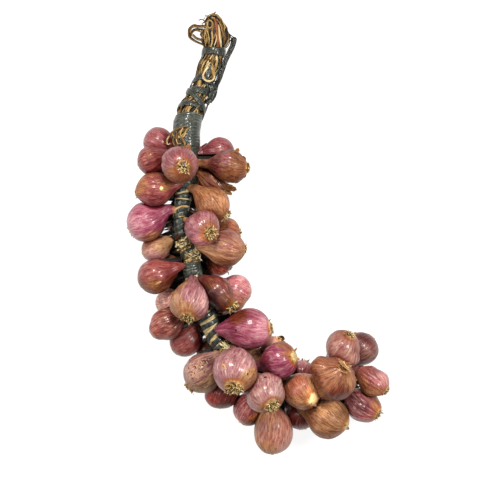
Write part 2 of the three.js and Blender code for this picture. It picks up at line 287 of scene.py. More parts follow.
# Each skin: deep, middle and light of the fresh layer, then dark, middle and light of the dry paper on it.
SKINS = {
    "skin_pale": (0x884454, 0xBE7E80, 0xE4BAB2, 0x84482C, 0xB67C54, 0xDCAE80),
    "skin_pink": (0x803044, 0xB2666E, 0xDA9E9A, 0x7A3E28, 0xAC6C4C, 0xD29C74),
    "skin_magenta": (0x822046, 0xB65A74, 0xDC9EA8, 0x7A3824, 0xB06A46, 0xD69C70),
    "skin_rose": (0x702028, 0xA6504E, 0xD08A7E, 0x6A341E, 0x9C5C3A, 0xC68A5C),
    "skin_mauve": (0x66383C, 0x98685E, 0xC49886, 0x64402A, 0x9A7050, 0xC89E76),
    "skin_tan": (0x803A36, 0xAE7060, 0xD29E86, 0x743E24, 0xB07850, 0xD8A67A),
    "skin_orange": (0x823A2A, 0xB0644A, 0xD08E6A, 0x683218, 0xB0724C, 0xDAA272),
    "skin_russet": (0x541818, 0x8C443C, 0xBA7864, 0x4A2010, 0x8A4E30, 0xB8784C),
    "skin_dark": (0x4A0C10, 0x84302C, 0xB46450, 0x441810, 0x864628, 0xB07046),
}
SKIN_STOPS = (0.2, 0.5, 0.82)  # where a deep, a middle and a light colour stand in a ramp
LILAC = (0x783E48, 0xB0727A, 0xD6AEAA)
PALE_STREAK = 0xF0DCC6
NECK_DRY = 0xC98A50
ROOT_RING = 0xB05C28
STRAW_DARK = 0x54300F
STRAW = 0xD0A25A
STRAW_LIGHT = 0xFFE8AC
SPECK = 0x4A2018
LEAF_RAMP = ((0.05, 0x120A04), (0.27, 0x503616), (0.5, 0x94703A), (0.72, 0xC8A668), (0.95, 0xF8EABC))
BLUSH_RAMP = ((0.1, 0x4A2010), (0.5, 0xA4623E), (0.9, 0xD69C78))
RUBBER_RAMP = ((0.22, 0x080C09), (0.5, 0x282F28), (0.72, 0x545C50), (0.94, 0xAAAE98))
# What each skin mesh gives its material at every point, besides "meridian" and "place".
SKIN_NUMBERS = ("cover", "flush", "bloom", "streak", "root", "neck", "fibre", "tone")


def skin_material(name, colours):
    deep, fresh, light, paper_dark, paper, paper_light = colours
    g = Graph(name)
    meridian = g.attribute("meridian")
    place = g.attribute("place")
    cover, flush, bloom, streak, root, neck, fibre, tone = (g.number(key) for key in SKIN_NUMBERS)

    broad = g.noise(meridian, 3.0, detail=3, roughness=0.55)
    lines = g.noise(meridian, 12, detail=4, roughness=0.68)
    veins = g.noise(g.scaled(meridian, (1, 1, 1.6)), 14, detail=3, roughness=0.65)
    blotch = g.noise(place, 0.15, detail=4, roughness=0.62)
    grain = g.noise(place, 0.9, detail=4, roughness=0.7)
    dark_line = g.step(veins, 0.54, 0.62)
    pale_line = g.step(veins, 0.45, 0.37)

    tide = g.total(flush, (broad, 0.45), (lines, 1.0), (blotch, 0.6), (grain, 0.4), -0.73)
    pink = g.ramp(tide, *zip(SKIN_STOPS, (deep, fresh, light)))
    pink = g.mix(bloom, pink, g.ramp(tide, *zip(SKIN_STOPS, LILAC)))
    pale = g.product(g.step(lines, 0.56, 0.66), streak)
    pink = g.mix(pale, pink, linear(PALE_STREAK))
    pink = g.mix(g.product(dark_line, 0.72), pink, linear(deep))
    pink = g.mix(g.product(pale_line, 0.32), pink, linear(light))
    dry_tide = g.total((flush, 0.7), (lines, 1.5), (blotch, 0.6), (grain, 0.4), -0.75)
    dry = g.ramp(dry_tide, *zip(SKIN_STOPS, (paper_dark, paper, paper_light)))
    dry = g.mix(g.product(dark_line, 0.8), dry, linear(paper_dark))
    dry = g.mix(g.product(pale_line, 0.3), dry, linear(paper_light))

    ragged = g.total(cover, (broad, 1.1), (lines, 1.7), (blotch, 0.9), (grain, 0.7), -2.2)
    papery = g.step(ragged, -0.24, 0.24)
    colour = g.mix(papery, pink, dry)

    rootward = g.step(g.total(root, (lines, 1.0), (grain, 0.7), -0.85), 0.3, 0.6)
    strawy = g.total(flush, (grain, 0.8), (lines, 0.4), -0.1)
    straw = g.ramp(strawy, (0.22, STRAW_DARK), (0.5, STRAW), (0.78, STRAW_LIGHT))
    ring = g.mix(g.step(g.total(root, (lines, 0.8), -0.4), 0.72, 1.05), linear(ROOT_RING), straw)
    colour = g.mix(g.product(rootward, 0.9), colour, g.mix(0.3, ring, dry))
    neckward = g.step(g.total(neck, (lines, 0.7), (grain, 0.3), -0.5), 0.35, 0.75)
    wither = g.total((lines, 0.9), (grain, 0.5), -0.2)
    withered = g.ramp(wither, (0.3, paper_dark), (0.52, NECK_DRY), (0.8, STRAW_LIGHT))
    colour = g.mix(neckward, colour, withered)
    colour = g.mix(fibre, colour, straw)

    specks = g.step(g.dots(place, 0.36), 0.12, 0.05)
    colour = g.mix(g.product(specks, 0.45), colour, linear(SPECK))
    # The tone holds each bulb's lightness and the painted light and shade put into it.
    colour = g.reddened_in_shade(colour, g.product(tone, g.total((grain, 0.5), 0.75)))

    roughness = g.total((papery, 0.12), (grain, 0.3), (neckward, 0.2), (fibre, 0.3), 0.2)
    height = g.total((lines, 0.8), (veins, 0.35), (grain, 0.35), (papery, 0.4))
    coat = g.total((papery, -0.16), 0.28)
    g.shade(colour, roughness, g.bump(height, 0.4, 0.8), coat=coat, coat_roughness=0.13, specular=0.22)
    return g.material


def leaf_material(name):
    g = Graph(name)
    grain = g.attribute("grain")
    tone = g.number("tone")
    blush = g.number("blush")
    fibres = g.noise(g.scaled(grain, (1.5, 0.12, 1)), 1.0, detail=4, roughness=0.7)
    stain = g.noise(g.scaled(grain, (0.5, 0.16, 1)), 1.0, detail=3, roughness=0.6)
    shade = g.total(tone, (fibres, 1.4), (stain, 0.9), -1.15)
    colour = g.mix(blush, g.ramp(shade, *LEAF_RAMP), g.ramp(shade, *BLUSH_RAMP))
    roughness = g.total((fibres, 0.3), 0.36)
    g.shade(colour, roughness, g.bump(g.total((fibres, 1.0), (stain, 0.3)), 0.35, 0.8), specular=0.22)
    return g.material


def strip_material(name):
    g = Graph(name)
    grain = g.attribute("grain")
    rim = g.number("rim")
    tone = g.number("tone")
    scuff = g.noise(g.scaled(grain, (0.9, 0.12, 1)), 1.0, detail=5, roughness=0.65)
    fine = g.noise(g.scaled(grain, (3.0, 0.35, 1)), 1.0, detail=3, roughness=0.6)
    cloud = g.noise(g.scaled(grain, (0.3, 0.06, 1)), 1.0, detail=2)
    shade = g.total((tone, 0.4), (scuff, 0.9), (fine, 0.4), (cloud, 0.5), (rim, 0.16), -0.65)
    colour = g.ramp(shade, *RUBBER_RAMP)
    roughness = g.total((scuff, 0.4), (fine, 0.2), 0.04)
    crease = g.total((fine, 0.6), (scuff, 1.0), (cloud, 1.5))
    sheen = g.total((tone, 0.3), 0.26)
    g.shade(colour, roughness, g.bump(crease, 0.5, 0.9), coat=sheen, coat_roughness=0.17, specular=0.36)
    return g.material


# ---- Meshes ----


class Shape:
    """Points, faces of three or four corners, and named values for each point."""

    def __init__(self, points, faces, values):
        self.points = points
        self.faces = faces
        self.values = values


def merged(shapes):
    points, faces, start = [], [], 0
    for shape in shapes:
        points.append(shape.points)
        faces += [[corner + start for corner in face] for face in shape.faces]
        start += len(shape.points)
    names = shapes[0].values.keys()
    values = {name: np.concatenate([shape.values[name] for shape in shapes]) for name in names}
    return Shape(np.concatenate(points), faces, values)


def tube(rings, **values):
    """A closed skin over rings of points, given as rows of columns, with each end drawn in to one point."""
    rows, columns = rings.shape[:2]
    faces = []
    for row in range(rows - 1):
        for column in range(columns):
            a = row * columns + column
            b = row * columns + (column + 1) % columns
            faces.append([a, b, b + columns, a + columns])
    first, last = rows * columns, rows * columns + 1
    for column in range(columns):
        following = (column + 1) % columns
        faces.append([first, following, column])
        faces.append([last, last - 1 - columns + column, last - 1 - columns + following])
    points = np.concatenate([rings.reshape(-1, 3), [rings[0].mean(0), rings[-1].mean(0)]])
    spread = {}
    for name, value in values.items():
        value = np.asarray(value, float)
        width = value.shape[2:]
        value = np.broadcast_to(value, (rows, columns) + width)
        ends = [value[0].mean(0), value[-1].mean(0)]
        spread[name] = np.concatenate([value.reshape((-1,) + width), ends])
    return Shape(points, faces, spread)


def faces_outwards(shape):
    """Whether the faces of a closed shape look outwards, by its signed volume."""
    triangles = np.array([[f[0], f[k], f[k + 1]] for f in shape.faces for k in range(1, len(f) - 1)])
    a, b, c = (shape.points[triangles[:, corner]] for corner in range(3))
    return np.einsum("ij,ij->i", a, np.cross(b, c)).sum() > 0


def add_piece(name, shape, material, node):
    """Makes a piece of the plait that stands for the named CAD node."""
    if not faces_outwards(shape):
        shape.faces = [face[::-1] for face in shape.faces]
    shape.points[:, 2] = np.maximum(shape.points[:, 2], FLOOR_CLEARANCE)
    mesh = bpy.data.meshes.new(name)
    mesh.from_pydata((shape.points * MM).tolist(), [], shape.faces)
    mesh.polygons.foreach_set("use_smooth", [True] * len(mesh.polygons))
    for key, value in shape.values.items():
        if value.ndim == 1:
            mesh.attributes.new(key, "FLOAT", "POINT").data.foreach_set("value", value)
        else:
            mesh.attributes.new(key, "FLOAT_VECTOR", "POINT").data.foreach_set("vector", value.ravel())
    mesh.materials.append(material)
    mesh.update()
    piece = add_object(name, mesh)
    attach(piece, "root")
    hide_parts(node)


WAVES = 12


def seeded(offset):
    return np.random.default_rng(SEED + offset)


def wobble(offset, length, points):
    """A smooth random field, about -2 to 2: a sum of seeded waves whose lengths are near the given one."""
    random = seeded(offset)
    directions = random.normal(size=(WAVES, points.shape[-1]))
    directions /= np.linalg.norm(directions, axis=1, keepdims=True)
    waves = directions * random.uniform(0.6, 1.7, (WAVES, 1)) * 2 * math.pi / length
    phases = random.uniform(0, 2 * math.pi, WAVES)
    return np.cos(points @ waves.T + phases).sum(-1) * math.sqrt(2 / WAVES)


def sway(offset, length, places):
    """The same along a line, at distances or shares along it."""
    return wobble(offset, length, np.asarray(places, float)[..., None])


def smooth(value, low, high):
    """0 below low, 1 above high and smooth between them."""
    share = np.clip((value - low) / (high - low), 0, 1)
    return share * share * (3 - 2 * share)


def within(value, start, end, start_soft, end_soft):
    """1 between start and end and 0 outside them, with each limit softened over a width either way."""
    rising = smooth(value, start - start_soft, start + start_soft)
    return rising * smooth(-value, -end - end_soft, -end + end_soft)


def unit(vectors):
    return vectors / np.maximum(np.linalg.norm(vectors, axis=-1, keepdims=True), 1e-9)


def square_to(directions):
    """Two directions square to each given one, the first of them level."""
    level = np.where(np.abs(directions[..., 2:3]) > 0.95, [1.0, 0.0, 0.0], UP)
    side = unit(np.cross(level, directions))
    return side, np.cross(directions, side)


def turned(side, up, angle):
    """Directions at angles from the side, towards up."""
    return side * np.cos(angle)[..., None] + up * np.sin(angle)[..., None]


def steps(count):
    """Shares from 0 to 1 down a column, to multiply rows of points by."""
    return np.linspace(0, 1, count)[:, None]


def directions_along(path):
    return unit(np.gradient(path, axis=0))


def distances_along(path):
    return np.concatenate([[0], np.cumsum(np.linalg.norm(np.diff(path, axis=0), axis=1))])


def smooth_path(points, step):
    """Points about a step apart on a centripetal Catmull-Rom curve through the given ones."""
    points = np.asarray(points, float)
    padded = np.concatenate([[2 * points[0] - points[1]], points, [2 * points[-1] - points[-2]]])
    knots = np.concatenate([[0], np.cumsum(np.sqrt(np.linalg.norm(np.diff(padded, axis=0), axis=1)))])
    pieces = []
    for i in range(1, len(padded) - 2):
        p, k = padded[i - 1 : i + 3], knots[i - 1 : i + 3]
        count = max(2, int(np.linalg.norm(p[2] - p[1]) / step * 4))
        t = np.linspace(k[1], k[2], count, endpoint=False)[:, None]
        a = [((k[j + 1] - t) * p[j] + (t - k[j]) * p[j + 1]) / (k[j + 1] - k[j]) for j in range(3)]
        b = [((k[j + 2] - t) * a[j] + (t - k[j]) * a[j + 1]) / (k[j + 2] - k[j]) for j in range(2)]
        pieces.append(((k[2] - t) * b[0] + (t - k[1]) * b[1]) / (k[2] - k[1]))
    fine = np.concatenate(pieces + [points[-1:]])
    return evenly(fine, step)


def evenly(path, step):
    """The same path with its points about a step apart."""
    distances = distances_along(path)
    wanted = np.linspace(0, distances[-1], max(3, round(distances[-1] / step) + 1))
    return np.stack([np.interp(wanted, distances, column) for column in path.T], axis=1)


RIBBON_SIDES = 8
RIBBON_ROUNDNESS = (0.6, 0.8)  # across and up: 1 makes its section an ellipse, and less a box
GRAIN_SHIFT = 7.3  # between one strand and the next, so that no two have the same grain


def tapered(count, ends):
    """Half widths along a strand whose ends are thinner."""
    t = np.linspace(-1, 1, count)
    return ends + (1 - ends) * (1 - t**6)


def round_rings(path, directions, radius, sides):
    """Rings of points about a path, square to the given directions."""
    side, up = square_to(directions)
    angles = np.linspace(0, 2 * math.pi, sides, endpoint=False)
    return path[:, None] + turned(side[:, None], up[:, None], angles) * radius[:, None, None]


def round_strand(path, radius):
    return tube(round_rings(path, directions_along(path), radius, ROOTLET_SIDES))


def ribbon(path, outward, half_width, half_thickness, tone=0.5, seed=0.0, tilt=0.0, cup=0.0, blush=0.0):
    """A flat strand along a path. outward is where its flat side faces, and cup lifts its edges."""
    ahead = directions_along(path)
    outward = unit(outward - ahead * np.einsum("ij,ij->i", outward, ahead)[:, None])
    across = np.cross(ahead, outward)
    tilted = across * math.cos(tilt) + outward * math.sin(tilt)
    outward = outward * math.cos(tilt) - across * math.sin(tilt)
    angles = np.linspace(0, 2 * math.pi, RIBBON_SIDES, endpoint=False) + math.pi / RIBBON_SIDES
    flat, high = (
        np.sign(wave) * np.abs(wave) ** roundness
        for wave, roundness in zip((np.cos(angles), np.sin(angles)), RIBBON_ROUNDNESS)
    )
    half_width = half_width[:, None]
    rings = (
        path[:, None]
        + tilted[:, None] * (flat * half_width)[..., None]
        + outward[:, None] * (high * half_thickness + cup * flat**2 * half_width)[..., None]
    )
    shape = rings.shape[:2]
    lengths = np.broadcast_to(distances_along(path)[:, None], shape)
    grain = np.stack([flat * half_width, lengths, np.full(shape, seed * GRAIN_SHIFT)], axis=-1)
    rim = np.broadcast_to(np.abs(flat) ** 4, shape)
    return tube(rings, grain=grain, rim=rim, tone=np.full(shape, tone), blush=np.full(shape, blush))


# ---- The core's middle line, followed inside its solid ----

CORE_PACE = 2.0
RAYS = 24
CENTRING_ROUNDS = 3
HEADING_PULL = 1.5  # how strongly each step turns the heading
# Where more layers are wound on than the solid shows: from and to distance, and how soft each limit is.
THICK_WRAPS = (86, 133, 6, 7)
THICK_WRAPS_RISE = 1.7  # how much larger the core's radius is there
THICK_WRAPS_SHIFT = 0.6  # and how far left its middle lies


class Core:
    """The core's middle line and radius, by distance from its head."""

    def __init__(self, node, inside_of):
        mesh = frame["nodes"][node].data
        tree = BVHTree.FromPolygons([v.co for v in mesh.vertices], [p.vertices for p in mesh.polygons])
        low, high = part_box(inside_of)
        start = (np.array(low) + np.array(high)) / 2 / MM
        headward = self.follow(tree, start, np.array([0.0, 1.0, 0.0]))
        tailward = self.follow(tree, start, np.array([0.0, -1.0, 0.0]))
        self.rows = np.array(headward[::-1] + tailward[1:])
        self.distances = distances_along(self.rows[:, :3])
        self.length = self.distances[-1]
        thick = within(self.distances, *THICK_WRAPS)
        self.rows[:, 3] += THICK_WRAPS_RISE * thick
        self.rows[:, 0] -= THICK_WRAPS_SHIFT * thick

    @staticmethod
    def follow(tree, start, heading):
        """Steps along the inside of the solid until it ends. Each row is x, y, z, radius."""
        centre, rows = start, []
        while True:
            for _ in range(CENTRING_ROUNDS):
                side, up = square_to(heading)
                hits = []
                for k in range(RAYS):
                    direction = turned(side, up, np.array(2 * math.pi * k / RAYS))
                    hit = tree.ray_cast(Vector(centre * MM), Vector(direction))[0]
                    if hit is None:
                        return rows
                    hits.append(np.array(hit) / MM)
                centre = np.mean(hits, axis=0)
            radius = np.median(np.linalg.norm(hits - centre, axis=1))
            rows.append([*centre, radius])
            if len(rows) > 1:
                heading = unit(heading + HEADING_PULL * unit(centre - np.array(rows[-2][:3])))
            ahead = tree.ray_cast(Vector(centre * MM), Vector(heading))[0]
            if ahead is None or np.linalg.norm(np.array(ahead) / MM - centre) < CORE_PACE:
                return rows
            centre = centre + heading * CORE_PACE

    def centre(self, distance):
        return np.stack([np.interp(distance, self.distances, self.rows[:, k]) for k in range(3)], axis=-1)

    def radius(self, distance):
        return np.interp(distance, self.distances, self.rows[:, 3])

    def frame(self, distance):
        """Middle, direction towards the tail, right side and upper side at distances from the head."""
        ahead = unit(self.centre(distance + 4.0) - self.centre(distance - 4.0))
        side, up = square_to(ahead)
        return self.centre(distance), ahead, side, up

    def around(self, distance, angle):
        """Middle and outward direction at distances from the head and angles up from the right side."""
        middle, _, side, up = self.frame(distance)
        return middle, turned(side, up, angle)

    def nearest(self, point):
        """The nearest point of the middle line, and its radius."""
        row = self.rows[np.argmin(np.linalg.norm(self.rows[:, :3] - point, axis=1))]
        return row[:3], row[3]


# ---- Bulbs, measured from their solids ----

TUFT_POINT = 1.1  # where the solid's root tuft ends, as a share of the bulb's half length from its belly
TUFT_DEPTH = 0.03  # how far the tuft's ring lies behind that point, in the same terms
TUFT_RADIUS = 0.2  # the ring's outer radius, as a share of the belly's
TUFT_SIDES = 9
NECK_SHARE = -1.2  # where the neck begins
NECK_AIM = 0.5  # how far the neck still points along the bulb's axis
NECK_REACH = 3.0  # how far a neck runs on into the wraps
NECK_END = 0.8  # the points this much farther from the core than the nearest are still the neck's end
NECK_POINTS = 24
AXIS_POINTS = 40
# The outline: share of the half length from the belly, and radius as a share of the belly's.
OUTLINE = np.array([
    (1.0, 0.1), (0.985, 0.2), (0.955, 0.31), (0.9, 0.44), (0.82, 0.6), (0.7, 0.745), (0.52, 0.88),
    (0.28, 0.97), (0.0, 1.0), (-0.25, 0.955), (-0.47, 0.86), (-0.68, 0.71), (-0.88, 0.545), (-1.04, 0.42),
    (-1.2, 0.32),
])
FLANK_SLOPE = 0.94  # the distance to a bulb's flank as a share of that measured square to its axis
BODY_ROWS = 52
NECK_ROWS = 16
COLUMNS = 72
# Bulbs that differ from the rest: how far the root end is drawn to a point, how deep the ribs are, the radius
# of the neck's end as a share of the belly's, how fast the neck thins, and how round its shoulder is.
PLAIN_SHAPE = (0.05, 1.0, 0.11, 1.4, 0.0)
SHAPES = {
    2: (0.1, 1.4, 0.11, 1.4, 0),
    4: (0.05, 1.2, 0.22, 0.9, 0),
    5: (0.1, 1.2, 0.2, 0.85, 0),
    6: (0.1, 2.4, 0.12, 1.4, 0),
    7: (0.28, 1.5, 0.19, 0.9, 0),
    8: (0.12, 1.2, 0.17, 1, 0),
    9: (0, 1.5, 0.17, 1.3, 0),
    12: (0.22, 1.5, 0.15, 1.2, 0),
    15: (0.1, 1.3, 0.11, 1.3, 0),
    16: (0, 1.6, 0.09, 1.6, 0),
    20: (0.15, 3, 0.11, 1.4, 0),
    24: (0.15, 1.8, 0.1, 1.2, 0),
    25: (0, 1, 0.06, 4, 1),
    31: (0, 1.8, 0.18, 0.9, 0.4),
    33: (0.35, 1.8, 0.1, 1.4, 0.3),
    36: (0.15, 1.8, 0.22, 0.8, 0),
    37: (0.2, 2, 0.2, 0.8, 0),
    38: (0.1, 1.6, 0.11, 1.4, 0),
}
SKIN_GROWTH = 1.03  # the loose outer skins stand a little off the solid
# Where a bulb bulges or falls short: heading in the picture, tilt from upright, size in degrees, millimetres.
SWELLS = {
    5: [(-30, 80, 55, 2)],
    6: [(-38, 80, 45, 3.2)],
    7: [(180, 80, 50, 0.8)],
    9: [(180, 80, 60, -1)],
    17: [(-50, 70, 45, 4.5)],
    18: [(-112, 80, 55, 5)],
    20: [(215, 80, 40, 2)],
    22: [(-20, 80, 40, 1.5)],
    24: [(180, 80, 60, -1.2)],
    25: [(105, 75, 40, -2.8)],
    26: [(220, 80, 40, 1.2)],
    29: [(60, 80, 38, 2.6)],
    30: [(200, 80, 60, -1.6)],
    31: [(-130, 80, 40, 1.2)],
    32: [(20, 80, 40, 1.5)],
    33: [(138, 80, 34, 3.6), (225, 80, 40, -3.6), (198, 75, 36, -2.6)],
    34: [(-64, 75, 42, 4.5)],
    36: [(-15, 80, 60, 2.2), (110, 80, 40, 2.2)],
    37: [(-35, 80, 55, 2.6)],
    38: [(0, 80, 40, 0.8)],
}


def towards(heading, rise=0.0):
    """The direction of a heading in the picture and a rise from level, both in degrees."""
    heading, rise = math.radians(heading), math.radians(rise)
    level = math.cos(rise)
    return np.array([math.cos(heading) * level, math.sin(heading) * level, math.sin(rise)])


def facing(directions, turn, tilt, size):
    """1 where directions are near the given heading and tilt and 0 beyond 1.2 of the size, all in degrees."""
    away = np.degrees(np.arccos(np.clip(directions @ towards(turn, 90 - tilt), -1, 1)))
    return 1 - smooth(away, 0.4 * size, 1.2 * size)


def welded(node):
    """A node's separate points in millimetres, and the set of neighbours of each."""
    mesh = frame["nodes"][node].data
    places = np.array([v.co for v in mesh.vertices]) / MM
    _, first, index = np.unique(np.round(places, 3), axis=0, return_index=True, return_inverse=True)
    index = index.ravel()
    neighbours = [set() for _ in first]
    for edge in mesh.edges:
        a, b = (index[v] for v in edge.vertices)
        if a != b:
            neighbours[a].add(b)
            neighbours[b].add(a)
    return places[first], neighbours


def root_end(points, neighbours):
    """The root tuft's middle, its outward direction and the flat ring of points round it, or None."""
    flattest, found = 0.01, None
    for point, around in zip(points, neighbours):
        if len(around) == TUFT_SIDES:
            ring = points[list(around)]
            _, spread, directions = np.linalg.svd(ring - ring.mean(0))
            if spread[2] < flattest:
                flattest = spread[2]
                depth = (point - ring.mean(0)) @ directions[2]
                found = point, directions[2] * np.sign(depth), ring
    return found


class Bulb:
    """A bulb's place and size, read from its solid, and its smooth surface."""

    def __init__(self, node, core, number):
        points, neighbours = welded(node)
        self.node = node
        self.number = number
        self.pointed, self.ribbed, self.neck_tip, self.neck_fall, self.round = SHAPES.get(number, PLAIN_SHAPE)
        found = root_end(points, neighbours)
        if found:
            tip, self.axis, ring = found
            depths = (tip - ring) @ self.axis
            reaches = np.linalg.norm(ring - tip + np.outer(depths, self.axis), axis=1)
            self.radius = reaches.max() / TUFT_RADIUS
            self.half_length = depths.mean() / TUFT_DEPTH
            self.centre = tip - self.axis * self.half_length * TUFT_POINT
        else:
            self.centre = (points.min(0) + points.max(0)) / 2
            self.axis = unit(self.centre - core.nearest(self.centre)[0])
            self.radius = self.half_length = (points.max(0) - points.min(0)).mean() / 2
        self.radius *= SKIN_GROWTH
        self.half_length *= SKIN_GROWTH
        self.side, self.up = square_to(-self.axis)
        self.spine = self.neck_path(points, core)

    def along(self, share):
        return self.centre + self.axis * self.half_length * share

    def neck_path(self, points, core):
        """Points of the middle line from the root to the end of the neck, with their shares."""
        shares = (points - self.centre) @ self.axis / self.half_length
        neck = points[shares < NECK_SHARE + 0.02]
        if len(neck):
            gaps = [np.linalg.norm(point - core.nearest(point)[0]) for point in neck]
            end = neck[np.array(gaps) < min(gaps) + NECK_END].mean(0)
        else:
            end = self.along(NECK_SHARE)
        inward = unit(core.nearest(end)[0] - end)
        end = end + inward * NECK_REACH
        start, bend = self.along(NECK_SHARE), self.along(NECK_SHARE - NECK_AIM)
        if np.linalg.norm(end - start) < 1.2 * np.linalg.norm(bend - start):
            bend = (start + end) / 2
        t = steps(NECK_POINTS)
        curve = (1 - t) ** 2 * start + 2 * t * (1 - t) * bend + t**2 * end
        lengths = distances_along(curve)
        straight = np.linspace(TUFT_POINT, NECK_SHARE, AXIS_POINTS, endpoint=False)
        places = np.concatenate([[self.along(share) for share in straight], curve])
        self.end_share = NECK_SHARE - lengths[-1] / self.half_length
        return np.concatenate([straight, NECK_SHARE - lengths / self.half_length])[::-1], places[::-1]

    def middle(self, share):
        shares, places = self.spine
        return np.stack([np.interp(share, shares, places[:, k]) for k in range(3)], axis=-1)

    def frame(self, share):
        """Middle, and the two directions square to the bulb's middle line, at each share."""
        ahead = unit(self.middle(share - 0.04) - self.middle(share + 0.04))
        side = unit(self.side - ahead * (ahead @ self.side)[..., None])
        return self.middle(share), side, np.cross(ahead, side)

    def outline(self, share):
        """Radius of the plain outline, in millimetres."""
        body = np.interp(-share, -self.smooth_outline[:, 0], self.smooth_outline[:, 1])
        body = body * (1 - self.pointed * smooth(share, 0.3, 1.0))
        ball = np.sqrt(np.clip(1 - (share / NECK_SHARE) ** 2, 0.015, 1))
        body = np.where(share < 0, body + (ball - body) * self.round, body)
        along = np.clip((NECK_SHARE - share) / (NECK_SHARE - self.end_share), 0, 1)
        shoulder = OUTLINE[-1, 1] + (0.12 - OUTLINE[-1, 1]) * self.round
        thin = self.neck_tip + (shoulder - self.neck_tip) * (1 - along) ** self.neck_fall
        return np.where(share < NECK_SHARE, thin, body) * self.radius

    smooth_outline = smooth_path(np.column_stack([OUTLINE, np.zeros(len(OUTLINE))]), 0.02)[:, :2]

    def relief(self, share, angle):
        """How far the surface stands off the plain outline, as a share of the local radius."""
        random = seeded(self.number)
        rootward = smooth(share, 0.5, 0.95)
        neckward = smooth(-share, 0.5, 1.7)

        def waves(size, counts, shift):
            return sum(
                random.normal(0, size) * np.cos(k * angle + random.uniform(0, 7) + shift(k)) for k in counts
            )

        lobes = waves(0.016, (2, 3, 4), lambda k: 0.5 * share)
        ribs = self.ribbed * waves(0.0048, range(7, 24, 2), lambda k: 0.4 * np.sin(2 * share + k))
        pleats = waves(0.045, (4, 6, 9, 11), lambda k: 1.1 * share)
        places = np.stack([np.cos(angle), np.sin(angle), share], axis=-1)
        dents = wobble(DENT_SEED + self.number, 1.5, places)
        return lobes + ribs + pleats * (neckward + 0.25 * rootward) + 0.014 * dents

    def surface(self, share, angle, lift=0.0):
        """Points on the skin, and the outward directions there."""
        middle, side, up = self.frame(share)
        outward = turned(side, up, angle)
        reach = self.outline(share) * (1 + self.relief(share, angle)) + lift
        return self.swollen(middle + outward * reach[..., None]), outward

    def swollen(self, points):
        """Points moved as the bulges of the skin move them."""
        seen = unit(points - self.centre)
        for turn, tilt, size, rise in SWELLS.get(self.number, []):
            points = points + seen * facing(seen, turn, tilt, size)[..., None] * rise
        return points

    def distance(self, points):
        """How far points are outside the plain outline. It is negative inside."""
        offset = points - self.centre
        depth = offset @ self.axis
        share = depth / self.half_length
        reach = np.linalg.norm(offset - depth[..., None] * self.axis, axis=-1)
        body = (reach - self.outline(np.clip(share, NECK_SHARE, 1.0))) * FLANK_SLOPE
        body = np.where((share > 1.0) | (share < NECK_SHARE), FAR, body)
        shares, places = self.spine
        neck = places[shares < NECK_SHARE]
        gaps = np.linalg.norm(points[..., None, :] - neck, axis=-1).min(-1)
        return np.minimum(body, gaps - self.outline(np.array(NECK_SHARE - 0.5)))
